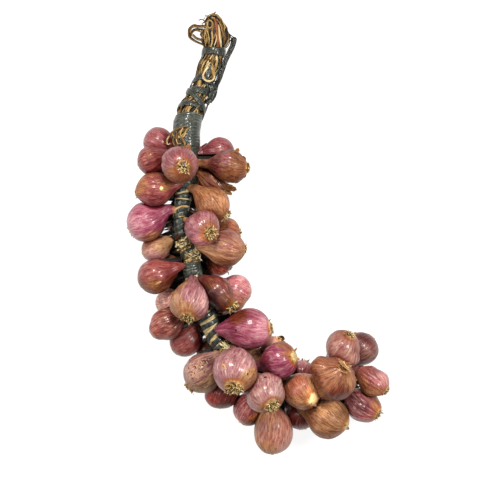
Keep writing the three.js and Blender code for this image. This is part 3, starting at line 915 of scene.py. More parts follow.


# ---- The look of each skin ----

# How each bulb looks: its cover of dry paper overall, more of it towards the root and towards the neck, the
# heading in the picture of its drier side and that side's weight, how light it is (raised where a bulb lies
# in shade, as painted light), how its fresh colour turns pale or deep towards the neck, how strong its pale
# streaks are, and how withered its neck is.
PLAIN_LOOK = (0.1, 0.3, 0.1, 0, 0.0, 1.0, 0.0, 0.2, 0.5)
LOOKS = {
    1: (-0.8, 0.2, 0, 200, 0.3, 0.7, -0.05, 0.1, 0.3),
    2: (-0.6, 0.2, 0, 90, 0.2, 0.9, -0.15, 0.05, 0.2),
    3: (-0.6, 0.6, 0, -110, 1, 0.84, -0.2, 0.15, 0.8),
    4: (-0.8, 0.2, 0, -90, 0.2, 0.68, -0.2, 0.1, 0.4),
    5: (0.15, 0.5, 0, -80, 0.4, 0.98, 0, 0.2, 1),
    6: (0.1, 0.2, 0.3, -60, 0.2, 1.05, -0.05, 0.4, 0.6),
    7: (-0.45, 0.5, -0.2, 120, 0.5, 1.1, -0.05, 0.1, 0.6),
    8: (0.4, 0.1, 0.2, 0, 0, 0.96, 0, 0.2, 1),
    9: (-0.95, 0.3, 0, -90, 0.5, 1, -0.2, 0.25, 0.9),
    10: (-1, 1.5, 0, -60, 0.3, 0.98, 0, 0.2, 1),
    11: (0.1, 0.3, 0, 0, 0, 1.45, 0.05, 0.1, 0.5),
    12: (-0.05, 0.2, 0.1, -60, 0.3, 1.15, 0.05, 0.35, 0.5),
    13: (0.15, -0.2, 0.6, 60, 1, 1.1, 0.1, 0.2, 1.8),
    14: (-0.2, 0.1, 0.1, 0, 0, 0.9, -0.15, 0, 0.5),
    15: (-0.35, 0.4, -0.5, -110, 1, 0.9, -0.05, 0.05, 0.2),
    16: (0, 0.5, -1.2, 195, 0.7, 1.03, -0.2, 0.4, 0.2),
    17: (-0.5, 0.4, 0.4, -40, 0.3, 0.82, -0.1, 0.1, 0.6),
    18: (-0.25, 0.1, 0, -90, 0.5, 1.36, 0.05, 0.6, 0.3),
    19: (-0.35, 0.1, 0, -90, 0.2, 2.4, 0.15, 0.3, 0.3),
    20: (-0.6, 0.2, -0.1, 200, 0.3, 1.2, 0, 0.3, 0.4),
    21: (-0.5, 0.2, 0.3, 200, 0.3, 1.12, -0.05, 0.1, 1.3),
    22: (-1, 0.4, 0, -90, 0.3, 0.98, -0.15, 0.15, 0.6),
    23: (-0.3, 0.1, 0.1, 0, 0, 1, 0, 0.1, 0.5),
    24: (-0.1, 0.3, 0.1, -40, 0.6, 1.25, 0, 0.3, 1.2),
    25: (-0.75, 1, 0, -35, 0.7, 1.04, -0.05, 0.8, 1.2),
    26: (-0.6, 0.2, 0, -90, 0.2, 1.65, 0, 0.15, 0.3),
    27: (-0.5, 0.6, 0, 60, 0.3, 1, -0.1, 0.25, 0.5),
    28: (-0.7, 0.5, 0, 60, 0.2, 0.9, 0, 0.2, 0.8),
    29: (-0.85, 0.8, 0, -60, 0.3, 0.9, 0.05, 1.3, 0.6),
    30: (-0.5, 0.3, 0, -40, 0.3, 3, 0, 0.2, 0.4),
    31: (-0.1, 0.3, 0.3, 180, 0.5, 1.35, 0, 0.2, 0.8),
    32: (0.3, 0.3, 0, -60, 0.5, 1.15, 0.1, 0.1, 0.6),
    33: (0.7, 0.1, 0, 0, 0, 0.8, 0, 0, 0.6),
    34: (-0.5, 0.4, 0.2, 100, 0.4, 0.82, 0.1, 0.9, 0.6),
    35: (-0.5, 0.2, 0, -60, 0.2, 0.85, -0.15, 0.1, 0.4),
    36: (-0.1, 0.4, 0, 230, 0.6, 1.2, 0.15, 0.6, 0.5),
    37: (-0.5, 0.5, 0, 30, 0.9, 1.02, -0.05, 0.45, 0.6),
    38: (0.9, 0.1, 0, 0, 0, 1.15, 0, 0.1, 0.6),
    39: (-1, 0.1, 0, 0, 0, 1.3, -0.6, 0.1, 0.2),
    40: (-0.6, 0.1, 0, 0, 0, 0.7, -0.05, 0.1, 0.3),
}
# Marks on single bulbs: the heading in the picture and the tilt from upright of each mark's middle, its size,
# all in degrees, and how much it adds to the dry paper, to the pale of the fresh colour and to the lightness.
# The lightness is mostly painted light and shade on that side of the bulb, partly its own lighter and darker
# skin.
MARKS = {
    1: [(0, 55, 45, 0, -0.05, -0.5), (180, 60, 40, 0, 0, 0.25), (-90, 55, 35, 0, 0.1, 0.25)],
    2: [(110, 25, 22, 0.6, 0.1, 0), (-30, 60, 45, 0, -0.1, -0.4), (90, 65, 30, 0, 0, -0.3)],
    3: [(160, 50, 40, -0.3, -0.12, 0), (90, 60, 40, -0.3, -0.1, -0.25)],
    4: [(-90, 55, 40, 0, 0.1, 1.8), (0, 60, 40, 0, 0, -0.5)],
    5: [(0, 75, 80, 2.2, 0.1, 0), (112, 30, 24, -1.8, 0, 0), (190, 75, 50, -0.6, -0.05, -0.25)],
    6: [(90, 60, 40, 0, -0.1, -0.5), (-90, 60, 40, 0, 0.05, 1.1)],
    7: [(170, 45, 35, 0.5, 0, 0.25), (-80, 50, 40, -0.4, -0.2, -0.1), (0, 0, 30, 0, 0, -0.2),
        (10, 48, 24, 1, 0.1, 0.25)],
    8: [(-100, 60, 40, 0, 0, -0.5), (0, 50, 35, 0, 0.05, 0.5)],
    9: [(200, 50, 55, 0, 0.2, 0.08), (-70, 60, 45, 0.7, 0, 0.1)],
    10: [(120, 55, 45, -0.5, 0, -0.08), (215, 60, 30, 0, -0.15, 0), (-90, 55, 40, -0.3, 0.1, 1.2)],
    11: [(60, 50, 50, 0, 0, 0.3)],
    12: [(180, 60, 40, 0, 0.1, 0.45), (90, 60, 40, 0, 0, -0.4), (0, 45, 30, 0, 0, 0.15),
        (-90, 60, 35, 0, 0, -0.35)],
    13: [(-125, 55, 52, -1.6, 0.12, 0.05), (45, 40, 60, 0.3, 0.35, -0.12), (90, 65, 30, 0, 0, -0.35)],
    14: [(-90, 60, 55, 0, 0, 2.2), (0, 60, 40, 0, -0.1, -0.6), (0, 0, 30, 0, -0.1, -0.6)],
    15: [(-95, 25, 22, 0.8, 0, 0.15), (60, 40, 40, -0.5, 0.05, 0), (0, 60, 40, 0, 0, -0.55)],
    16: [(80, 35, 34, -0.8, -0.15, 0), (-110, 55, 30, 0.6, 0, 0.05), (180, 60, 40, -0.4, 0.1, 0),
        (0, 60, 35, 0, 0.1, 0.35)],
    17: [(-50, 50, 35, 0.8, 0, 0.3), (130, 40, 25, 0.9, 0, 0.3), (225, 60, 75, 0, -0.5, -0.8)],
    18: [(0, 60, 40, 0, 0, 0.3), (90, 60, 40, 0, 0, 0.4), (-90, 60, 35, 0, 0, -0.25)],
    19: [(90, 60, 50, 0, 0, 0.8), (-90, 60, 40, 0, 0, -0.35)],
    20: [(180, 55, 45, 0, 0, 0.35)],
    21: [(0, 60, 45, 0, -0.15, -0.75), (-90, 60, 35, 0, 0, -0.2)],
    22: [(125, 58, 38, 1.8, -0.1, -0.6), (190, 45, 30, 0, -0.15, -0.08), (90, 45, 40, 0, -0.1, -0.2),
        (0, 50, 40, 0, 0.2, 0.3)],
    24: [(60, 45, 24, -1.2, -0.25, 0), (170, 30, 40, 0, 0.15, 0.1)],
    25: [(170, 55, 45, 0, 0, 0.05), (-10, 55, 26, 0.9, 0, 0.1), (-90, 55, 34, 0.9, 0.2, 1.2),
        (20, 40, 30, 0, 0.1, 0.15)],
    26: [(180, 55, 40, 0, 0, 0.55), (-90, 60, 35, 0, 0, -0.6), (90, 60, 30, 0, 0, -0.4)],
    27: [(0, 0, 110, 0, -0.12, 0), (80, 70, 28, 1.2, 0, -0.1), (180, 55, 35, 0, -0.1, -0.3),
        (0, 55, 38, 0, 0.1, 0.4)],
    28: [(90, 50, 45, 0, 0.2, 1), (-90, 60, 40, 0, -0.25, -0.35), (180, 55, 40, 0, 0.1, 0.5)],
    29: [(0, 0, 110, 0, 0.16, -0.06), (200, 50, 50, -0.3, 0.05, -0.15), (-90, 50, 40, 0.7, 0.1, 0.05),
        (0, 50, 40, 0, 0.15, 0.2)],
    30: [(-60, 40, 30, 0.8, 0, 0.1), (-90, 62, 40, 0, -0.1, -0.55), (180, 60, 40, 0, 0, -0.4)],
    31: [(-20, 50, 45, -0.9, 0, 0), (180, 45, 35, -0.6, 0, 0), (90, 55, 40, 0, 0, 0.25)],
    32: [(125, 30, 34, -1.4, -0.05, 0), (0, 62, 50, 0.4, 0.3, 3), (180, 50, 30, 0, 0, -0.15)],
    33: [(-80, 60, 45, 0, 0, -0.6), (0, 60, 35, 0, 0.1, 0.45), (180, 60, 35, 0, 0, -0.2)],
    34: [(0, 0, 110, 0, 0.14, 0), (90, 60, 35, 0, 0, -0.25), (0, 60, 35, 0, 0, -0.2)],
    35: [(180, 55, 40, 0.5, 0.1, 0.8), (60, 60, 50, 0, 0, -0.5), (90, 62, 35, 0, -0.1, -0.4)],
    36: [(20, 50, 50, -0.3, 0.15, 0.15), (-90, 60, 40, 0.5, 0.1, 0.35), (90, 60, 40, 0, 0, -0.45)],
    37: [(180, 25, 40, -0.9, -0.1, 0), (180, 60, 40, 0, 0, 0.35), (0, 0, 30, 0, -0.2, -0.12),
        (0, 60, 40, 0, 0.05, 0.3), (-90, 60, 40, 0, 0, 0.3)],
    38: [(-80, 60, 40, 0, 0, -0.3), (90, 50, 45, 0, 0.15, 0.7), (180, 60, 40, 0, 0, -0.35)],
    40: [(180, 60, 48, 0, -0.15, -1), (90, 55, 35, 0, 0.1, 0.5)],
}
# Lilac bloom on the fresh skin of some: the middle's heading and tilt, its size in degrees, and its strength.
NO_BLOOM = (0, 0, 1, 0)
BLOOMS = {
    3: (135, 45, 60, 0.2),
    5: (112, 30, 40, 0.4),
    10: (110, 40, 80, 0.5),
    13: (-100, 60, 50, 0.9),
    16: (190, 60, 50, 0.5),
    19: (0, 0, 120, 0.1),
    24: (150, 40, 70, 0.15),
    25: (160, 40, 90, 0.5),
    29: (0, 0, 120, 0.5),
    30: (0, 0, 120, 0.3),
    34: (0, 0, 120, 0.4),
    35: (60, 60, 70, 0.3),
    36: (30, 50, 60, 0.5),
    37: (180, 25, 55, 0.8),
}
MERIDIAN_STRETCH = 0.17  # how slowly the streaks change along a bulb, against round it
MERIDIAN_TWIST = 0.3
LOOSE_GRAIN = (0.12, 0.02, 1.0)  # how the grain of a loose piece stands for a skin's meridians
MERIDIAN_SHIFT = 3.7  # between one bulb and the next, so that no two have the same streaks
PLACE_SHIFT = 41.0  # and none the blotches of another
CONTACT_GAP = 0.15
CONTACT_RANGE = 2.6  # bulbs whose middles are farther apart than this many radii do not meet
CREVICE_SHADE_REACH = 4.5  # painted shade darkens the skin this near to what it touches
CREVICE_SHADE_SHARE = 0.62  # by this share where it touches
UNDERSIDE_SHADE_SHARE = 0.2  # and painted shade darkens it by this share on the underside
PLATE = (0.945, 0.965)  # the shares between which skin turns to the straw of the root plate
PALE_ROOTS = (27, 32, 38)  # bulbs with a smooth, pale root plate
PALE_PLATE = 0.15  # how much paler than most straw such a plate is
PLAIN_PLATE = -0.3  # and how much the others are


def skin_values(bulb, share, angle, points, outward, gaps):
    """What the skin's material reads at each point."""
    look = LOOKS.get(bulb.number, PLAIN_LOOK)
    dry, rootward, neckward, heading, lean, light, flush, streak, withered = look
    twisted = angle + MERIDIAN_TWIST * share
    along = share * MERIDIAN_STRETCH + bulb.number * MERIDIAN_SHIFT
    meridian = np.stack([np.cos(twisted), np.sin(twisted), along], axis=-1)
    cover = dry + rootward * smooth(share, 0.35, 0.95) + neckward * smooth(-share, 0.5, 1.3)
    cover = cover + lean * (outward @ towards(heading))
    flush = flush * smooth(-share, 0.2, 1.1)
    # Painted shade: the tone falls near what the skin touches.
    tone = light * (1 - CREVICE_SHADE_SHARE * (1 - smooth(gaps, 0, CREVICE_SHADE_REACH)))
    # Painted shade on the underside.
    tone = tone * (1 - UNDERSIDE_SHADE_SHARE * smooth(-outward[..., 2], -0.5, 0.2))
    seen = unit(points - bulb.centre)
    for turn, tilt, size, drier, paler, lightness_and_shade in MARKS.get(bulb.number, []):
        weight = facing(seen, turn, tilt, size) * smooth(share, -1.3, -0.9)
        cover = cover + drier * weight
        flush = flush + paler * weight
        # Painted light and shade, with some of the skin's own lightness, on the marked side.
        tone = tone * (1 + lightness_and_shade * weight)
    turn, tilt, size, strength = BLOOMS.get(bulb.number, NO_BLOOM)
    plate = smooth(share, *PLATE)
    plate_flush = PALE_PLATE if bulb.number in PALE_ROOTS else PLAIN_PLATE
    return {
        "meridian": meridian,
        "place": points + bulb.number * PLACE_SHIFT,
        "cover": cover,
        "flush": flush * (1 - plate) + plate_flush * plate,
        "bloom": strength * facing(seen, turn, tilt, size),
        "streak": np.full(share.shape, streak),
        "root": smooth(share, 0.74, 0.955),
        "neck": withered * np.clip((NECK_SHARE - share) / (NECK_SHARE - bulb.end_share), 0, 1),
        "fibre": plate,
        "tone": tone,
    }


def bulb_skin(bulb):
    """The skin from the root plate to the end of the neck: shares, angles, points and outward directions."""
    outline_shares = bulb.smooth_outline[:, 0]
    rim = np.interp(np.linspace(0, 1, BODY_ROWS), np.linspace(0, 1, len(outline_shares)), outline_shares)
    neck = np.linspace(NECK_SHARE, bulb.end_share, NECK_ROWS + 1)[1:]
    share = np.concatenate([rim, neck])[:, None] * np.ones(COLUMNS)
    angle = np.linspace(0, 2 * math.pi, COLUMNS, endpoint=False) * np.ones(share.shape)
    return share, angle, *bulb.surface(share, angle)


def pressed(points, outward, bulb, others):
    """The skin pushed in where it meets other bulbs, so that two share a flat, and its gap to the nearest."""
    push = np.zeros(points.shape[:-1])
    nearest = np.full(points.shape[:-1], FAR)
    for other in others:
        away = np.linalg.norm(other.centre - bulb.centre)
        if other is bulb or away > CONTACT_RANGE * (bulb.radius + other.radius):
            continue
        gap = other.distance(points)
        push = np.maximum(push, 0.5 * np.clip(CONTACT_GAP - gap, 0, None))
        nearest = np.minimum(nearest, gap)
    points = points - outward * push[..., None]
    points[..., 2] = np.maximum(points[..., 2], FLOOR_CLEARANCE)
    return points, nearest


def as_skin(shape, cover, fibre, flush, tone):
    """Gives a loose piece of a bulb the values that the skin's material reads."""
    grain = shape.values.get("grain", shape.points)
    numbers = dict.fromkeys(SKIN_NUMBERS, 0.0)
    numbers.update(cover=cover, fibre=fibre, flush=flush, tone=tone)
    shape.values = {"meridian": grain * LOOSE_GRAIN, "place": shape.points}
    shape.values.update({name: np.full(len(shape.points), number) for name, number in numbers.items()})
    return shape


# ---- Loose pieces of the bulbs ----

# The size of a bulb's root tuft against most, and how many roots and how many torn shards are left of it.
PLAIN_TUFT = (0.9, 40, 4)
SMOOTH_TUFT = (0.35, 16, 0)
TUFTS = dict.fromkeys([1, 2, 4, 13, 15, 18, 19, 20, 21, 26, 30, 31, 35, 39], SMOOTH_TUFT)
TUFTS.update({
    3: (1.1, 76, 6),
    5: (0.9, 44, 3),
    7: (0.5, 16, 1),
    8: (1.5, 60, 4),
    9: (0.6, 24, 1),
    10: (1.25, 84, 8),
    12: (0.7, 24, 2),
    16: (1.1, 70, 5),
    17: (2.4, 80, 3),
    22: (0.7, 24, 4),
    25: (1.3, 96, 9),
    27: (0.3, 8, 5),
    29: (1.3, 90, 9),
    32: (0.3, 8, 3),
    33: (0.5, 16, 6),
    34: (0.8, 30, 3),
    36: (0.8, 30, 3),
    37: (0.8, 30, 2),
    38: (0.3, 8, 2),
})
TUFT_SPREAD = 0.27  # the tuft's radius, as a share of the belly's
TUFT_SHARE = 0.955  # and the share of the bulb that its roots start at
ROOTLET_SIDES = 5
ROOTLET_TAPER = np.array([1.0, 1.0, 1.15, 0.95, 0.45])
SHARD_TAPER = np.array([1.0, 1.05, 1.0, 0.85, 0.7, 0.45, 0.15])


def rootlets(bulb):
    """The tuft of short dried roots on the root plate."""
    random = seeded(ROOTLET_SEED + bulb.number)
    size, count, _ = TUFTS.get(bulb.number, PLAIN_TUFT)
    spread = TUFT_SPREAD * (1 - bulb.pointed) * bulb.radius
    shapes = []
    for _ in range(count):
        turn = random.uniform(0, 2 * math.pi)
        reach = math.sqrt(random.uniform(0, 1))
        outward = turned(bulb.side, bulb.up, np.array(turn))
        base = bulb.swollen(bulb.along(TUFT_SHARE) + outward * spread * reach)
        heading = unit(bulb.axis + outward * (0.2 + 0.9 * reach) + random.normal(0, 0.35, 3))
        curl = unit(np.cross(heading, random.normal(size=3)))
        length = size * random.uniform(0.09, 0.17) * bulb.radius
        t = steps(len(ROOTLET_TAPER))
        path = base + heading * t * length + curl * (t**2) * length * random.uniform(0.1, 0.7)
        strand = round_strand(path, random.uniform(0.3, 0.62) * ROOTLET_TAPER)
        shapes.append(as_skin(strand, 0.0, 1.0, random.uniform(-0.3, 0.4), random.uniform(0.9, 1.5)))
    return shapes


def shards(bulb):
    """Torn ends of the outer skins that stand up round the tuft."""
    random = seeded(SHARD_SEED + bulb.number)
    _, _, count = TUFTS.get(bulb.number, PLAIN_TUFT)
    shapes = []
    for k in range(count):
        turn = 2 * math.pi * (k + random.uniform(0, 0.8)) / count
        share = random.uniform(0.9, 0.945)
        root, side, up = bulb.frame(np.array(share))
        outward = turned(side, up, np.array(turn))
        base = bulb.swollen(root + outward * bulb.outline(np.array(share)) * 0.97)
        length = random.uniform(0.1, 0.2) * bulb.radius
        t = steps(len(SHARD_TAPER))
        path = base + (bulb.axis * 0.8 + outward * 0.5) * t * length + outward * (t**2) * length * 0.4
        half_width = random.uniform(0.05, 0.11) * bulb.radius * SHARD_TAPER
        shape = ribbon(path, outward + 0 * path, half_width, 0.16, seed=k)
        shapes.append(as_skin(shape, 1.5, random.uniform(0.0, 0.5), random.uniform(-0.1, 0.3), 0.95))
    return shapes


# Loose flakes of papery skin: bulb, place, heading and rise in degrees, length, half width, curl, how much of
# its colour is straw, and how light it is.
FLAKES = [
    (3, (-61.6, 73, 52.5), 85, 30, 7, 2.8, -0.3, 0.1, 1),
    (4, (-48, 79, 28), -55, -12, 15, 3.6, -0.2, 0, 0.75),
    (5, (-19, 69.5, 57), 60, 15, 8, 2.4, 0.4, 0.2, 1.2),
    (5, (-25, 46.8, 54), -75, -5, 3.2, 4.2, 0.2, 0.1, 1),
    (5, (-17.5, 47, 54), -50, 0, 3.4, 4.2, -0.3, 0, 1.05),
    (5, (-11.8, 51, 53), -25, 0, 3.2, 3.6, 0.3, 0.2, 1.1),
    (5, (-12.2, 65, 54), 40, 5, 3.4, 3.4, 0.3, 0.1, 1.1),
    (6, (-31, 42, 38), -18, 8, 18, 3.6, 0.5, 0.2, 1.5),
    (6, (-30, 38.5, 37), -32, 0, 13, 2.4, 0.8, 0.45, 1.6),
    (6, (-27, 38, 38), 20, 14, 9, 2, 1, 0.2, 1.5),
    (28, (22.5, -96.4, 38), 62, 35, 7, 2.8, 0.7, 0.2, 0.95),
    (29, (12, -157, 70), 205, -35, 10, 3.4, -0.5, 0.15, 1),
    (33, (73, -114, 87), -46, 4, 13, 1.3, 0.3, 0.15, 1),
    (33, (75.5, -115, 87), -52, 4, 11, 1.2, 0.3, 0.7, 1.3),
    (33, (78, -120, 86), -40, 0, 8, 1.8, 0.5, 0.3, 1.1),
    (34, (80.5, -91, 61), 120, 40, 6, 2, 0.8, 0.4, 1.05),
]
PINK_FLAKES = (4,)  # bulbs whose flake is of the fresh layer



def flake(bulb, place, heading, rise, length, half_width, curl, straw, light, seed):
    ahead = towards(heading, rise)
    _, up = square_to(ahead)
    t = steps(12)
    path = place + ahead * length * (t - 0.35 * abs(curl) * t**3) + up * curl * length * 0.5 * t**2
    ragged = 1 + 0.14 * sway(FLAKE_SEED + seed, 0.4, t[:, 0])
    wide = half_width * ragged * (1 - t[:, 0] ** 2.2) ** 0.7 + 0.15
    shape = ribbon(path, up + 0 * path, wide, 0.18, seed=seed, cup=0.35)
    return as_skin(shape, -1.0 if bulb.number in PINK_FLAKES else 1.5, straw, 0.1 * straw, light)


# Scars and specks on the skin, and one painted highlight: bulb, place, heading in the picture, length, half
# width, straw and light.
SCARS = [
    (7, (-84.6, 38.6, 63.4), 60, 4.8, 2.2, 0.6, 1.3),
    # The first scar on bulb 7 is a pale patch, and the second, inside it, a painted highlight.
    (7, (-84.9, 38.9, 63.8), 60, 2.6, 1.1, 1, 3.2),
    (15, (-88.1, -45.8, 62.8), 22, 7, 1.1, 0.5, 1.3),
    (15, (-88.6, -48.2, 61.5), 12, 8.5, 0.4, 0, 0.35),
    (15, (-84.6, -46, 62.4), 40, 6, 0.4, 0, 0.45),
    (22, (-18.5, -87.9, 68.8), 80, 2.2, 0.9, 0, 0.03),
    (25, (-29.6, -118.8, 93.7), 120, 5, 1.7, 0.8, 1.15),
    (25, (-29.6, -119, 94.1), 120, 2.8, 0.6, 0.6, 0.5),
    (25, (-8.2, -124.6, 92.3), 70, 5.4, 1.7, 0.6, 1.15),
    (25, (-8, -125.6, 92.7), 60, 2.2, 0.7, 0, 0.1),
    (29, (7.8, -129.2, 77.3), 0, 2.6, 0.9, 0, 0.03),
]


def scar(bulb, place, heading, length, half_width, straw, light, seed):
    outward = unit(place - bulb.centre)
    ahead = towards(heading)
    ahead = unit(ahead - outward * (ahead @ outward))
    t = np.linspace(-1, 1, 9)[:, None]
    path = place + ahead * t * length / 2 - outward * (t * length / 2) ** 2 / (2 * bulb.radius)
    ragged = 1 + 0.15 * sway(SCAR_SEED + seed, 0.8, t[:, 0])
    wide = half_width * ragged * np.sqrt(1.05 - t[:, 0] ** 2)
    return as_skin(ribbon(path, outward + 0 * path, wide, 0.22, seed=seed, cup=-0.1), 1.6, straw, 0.1, light)


# Bulbs with a speckled ridge: the shares it runs between, its angle and spread in degrees, and its specks.
SPECKLES = {24: (-0.75, 0.45, 66, 12, 70)}
NO_SPECKLES = (0, 0, 0, 0, 0)
PALE_SPECK = (0.4, 1.5)  # straw and light
DARK_SPECK = (0.1, 0.35)


def speckles(bulb):
    random = seeded(SPECKLE_SEED + bulb.number)
    start, end, middle, spread, count = SPECKLES.get(bulb.number, NO_SPECKLES)
    shapes = []
    for k in range(count):
        share, angle = random.uniform(start, end), math.radians(random.normal(middle, spread))
        place = bulb.surface(np.array([share]), np.array([angle]), 0.05)[0][0]
        size = random.uniform(1.0, 2.2), random.uniform(0.28, 0.5)
        look = PALE_SPECK if k % 2 else DARK_SPECK
        shapes.append(scar(bulb, place, random.uniform(0, 180), *size, *look, k))
    return shapes


# ---- Raffia and strip ----

STRANDS = 60
STRAND_STEP = 2.5
OPEN_LENGTH = 110  # the strands beyond it are nearly all covered
COVERED_STEP = 8.0
CORE_TWIST = 0.02
EXPOSED = [(-5, 29), (38, 101)]  # from and to distance where no strip holds the strands down
EXPOSED_SOFT = 3
UNDER_STRIP = 0.97  # the radius of the strands as a share of the core's
DARK_MIDDLE = 0.86  # and that of the dark middle under them, which paints the shade between them
WRAP_SHARE = 1.07  # the radius that strip is wound at, as a share of the core's
WRAP_GAP = 0.75  # and the gap beyond it
STRIP_HALF_THICKNESS = 0.55
PITCH_WANDER = 0.25
WIDTH_WANDER = 0.07  # as a share of the width
WINDING_CREASE = 0.1
STRAP_CREASE = 0.07
TURN_STEPS = 44


def core_strands(core):
    """Raffia strands round the core, over a dark middle that paints the shade between them."""
    open_part = np.arange(0.5, OPEN_LENGTH, STRAND_STEP)
    distance = np.concatenate([open_part, np.arange(OPEN_LENGTH, core.length - 1, COVERED_STEP)])
    middle, ahead, side, up = core.frame(distance)
    inner = round_rings(middle, ahead, core.radius(distance) * DARK_MIDDLE, 20)
    zeros = np.zeros(inner.shape[:2])
    shapes = [tube(inner, grain=inner, rim=zeros, tone=zeros - 0.35, blush=zeros)]
    turn_seed, rise_seed, width_seed = STRAND_SEEDS
    random = seeded(turn_seed)
    slack = sum(within(distance, *limits, EXPOSED_SOFT, EXPOSED_SOFT) for limits in EXPOSED)
    for k in range(STRANDS):
        turn = 2 * math.pi * k / STRANDS + CORE_TWIST * distance + 0.14 * sway(turn_seed + k, 60, distance)
        rise = sway(rise_seed + k, 30, distance)
        height = UNDER_STRIP + 0.02 * rise + slack * (0.05 + 0.06 * rise)
        outward = turned(side, up, turn)
        path = middle + outward * (core.radius(distance) * height)[:, None]
        wide = np.clip(0.72 + 0.28 * sway(width_seed + k, 40, distance), 0.25, 1.5)
        wide = wide * np.clip(core.radius(distance) / 8, 0.5, 1.2)
        tone = random.uniform(-0.2, 0.75)
        shapes.append(ribbon(path, outward, wide, 0.38, tone, k, random.normal(0, 0.3)))
    return shapes


def winding(core, start, end, pitch, width, first, lift, lean, skew, seed, tone=0.5):
    """A strip wound round the core between two distances from its head. skew tips its turns."""
    pitch_seed, crease_seed, width_seed = WINDING_SEEDS
    turns = (end - start - width) / pitch
    k = np.arange(int(turns * TURN_STEPS) + 1) / TURN_STEPS
    angle = math.radians(first) + 2 * math.pi * k
    wander = PITCH_WANDER * sway(pitch_seed + seed, 1.1, k)
    distance = start + width / 2 + k * pitch + wander - skew * np.cos(angle)
    middle, outward = core.around(distance, angle)
    crease = WINDING_CREASE * sway(crease_seed + seed, 0.14, k)
    reach = core.radius(distance) * WRAP_SHARE + WRAP_GAP + lift + crease
    wide = width / 2 * (1 + WIDTH_WANDER * sway(width_seed + seed, 0.8, k))
    return ribbon(middle + outward * reach[:, None], outward, wide, STRIP_HALF_THICKNESS, tone, seed, lean)


# Turns of strip, and of raffia: from, to, pitch, width, first angle, lift off the core, lean, skew.
HEAD_BAND = [(29.6, 37.4, 0.3, 7.4, 40, 0, 0, 1.8)]
PLAIT_TURNS = [
    (100, 168, 2.6, 5.2, 0, 0.6, 0.16, 1.5),
    (166, 214, 5.4, 5.8, 60, 0.1, 0.07, 0),
    (233, 250, 2.6, 5, 200, 0.5, 0.16, 0),
    (247, 290, 9.2, 5.2, 0, 0.2, 0, 0),
    (318, 404, 32, 6, 0, 0, 0, 0),
]
RAFFIA_TURNS = [(214, 235, 5, 6, 0, -0.4, 0.2, 0), (246, 326, 8.6, 9.4, 30, -0.35, 0.05, 0)]
# Straps laid round the core: half width, lift, and rows of distance from the head and angle in degrees.
STALK_STRAPS = [
    (1.7, 0.2, [(33, 168), (40.6, 155), (47.5, 162), (54, 180), (58, 195), (62, 240), (66, 290)]),
    (1.9, 0.2, [(42, 16), (47, 26), (51, 30), (55, 14), (59, -25), (62, -100)]),
    (3, 0.9, [(75, 290), (72, 230), (70, 180), (66.5, 150), (62.5, 112), (63.5, 77), (67.5, 46), (72, 15),
        (78, -30), (84, -110)]),
    (3.3, 0.4, [(85, 290), (82, 230), (79.5, 180), (76.7, 114), (74.8, 68), (72.8, 33), (71, -20),
        (70, -110)]),
    (2.7, 1.5, [(74, 290), (76, 225), (77.5, 180), (81.8, 110), (85.9, 71), (90, 22), (95.5, -14),
        (103, -100)]),
    (2.5, 0.3, [(95.5, 290), (95, 180), (92.7, 133), (91.6, 90), (90.8, 52), (89.5, 0), (88, -110)]),
]
TONGUE = (2.5, 0.1, [(66, 76), (61, 80), (56, 82), (51, 83), (48, 84)])
PLAIT_STRAPS = [
    (2.7, 0.6, [(239, 290), (231.5, 180), (226, 116), (222.7, 48), (220.5, 0), (216, -60), (214, -110)]),
    (2.4, 0.3, [(290, 290), (288, 180), (285.5, 90), (283.5, 10), (281, -110)]),
    (2.3, 0.3, [(297.5, 290), (294.8, 180), (293.2, 100), (291.9, 27), (290, -110)]),
    (2.4, 0.6, [(309, 260), (307, 180), (302, 105), (297.4, 35), (294, -20), (290, -110)]),
    (2.5, 0.3, [(316, 290), (313, 170), (310, 90), (307.7, 5), (305, -110)]),
    (1.9, 0.4, [(319, 290), (317, 180), (315.6, 123), (314, 36), (312, -30), (310, -110)]),
]
# The same for straw that lies over the strip.
STRAW_LINES = [
    (0.9, 0.9, [(173.6, 185), (171.5, 121), (169.6, 82), (168, 37), (167, 0)]),
    (0.65, 0.8, [(177.5, 150), (176.6, 123), (176.1, 82), (176, 47), (176.6, 0)]),
    (1, 1, [(194, 185), (187.3, 146), (184.2, 110), (182.7, 73), (183.2, 30), (184.2, 0)]),
    (0.6, 0.8, [(193, 108), (192.4, 85), (191.4, 53)]),
]
STRAW_FAN = [
    (0.9, 1.3, [(313, 84), (318, 74), (325, 62)]),
    (1, 1.5, [(313, 68), (319, 58), (327, 48)]),
    (1, 1.7, [(313, 52), (320, 44), (328, 34)]),
    (1, 1.5, [(313, 38), (320, 30), (328, 20)]),
    (0.9, 1.3, [(313, 24), (319, 16), (326, 8)]),
    (0.7, 2, [(314, 60), (320, 42), (326, 26)]),
]
# Crumpled straw tucked under the strip: from and to distance, from and to angle, and how many pieces.
TANGLES = [(213.5, 223, 182, 58, 46), (226, 234, 126, -22, 60), (317, 325, 110, 10, 14)]

SHREDS_A_NECK = 9
BARE_NECK = 4  # the bulb whose neck has none
SHREDS_A_GAP = 4
SHRED_CLEARANCE = 0.6  # how far shreds stay off the floor
# Near-black shreds that fill a gap and paint the shade in it: start, end and half width.
GAP_SHADE_SHREDS = [
    ((-66, 29, 30), (-94, 31, 25), 4.6),
    ((-68, 4, 13), (-87, 2, 10), 2.2),
    ((-62, -45, 30), (-87, -51, 25), 5),
    ((-66, -17, 30), (-84, -19, 24), 3.6),
    ((-57, -33, 28), (-34, -41, 22), 4.6),
    ((14, -148, 16), (32, -161, 8), 4),
    ((80, -136, 24), (99, -145, 16), 3),
    ((-76, 56, 28), (-94, 52, 24), 3),
]
CORE_SHADE_SHREDS = [(140, 215, 40), (250, 300, 26)]  # near-black shreds beside the core that paint its shade: from and to distance, how many a side


def shred(path, facing, half_width, tone, seed, cup, tilt=0.0):
    path[:, 2] = np.maximum(path[:, 2], SHRED_CLEARANCE)
    return ribbon(path, facing + 0 * path, half_width, 0.2, tone, seed, tilt, cup)


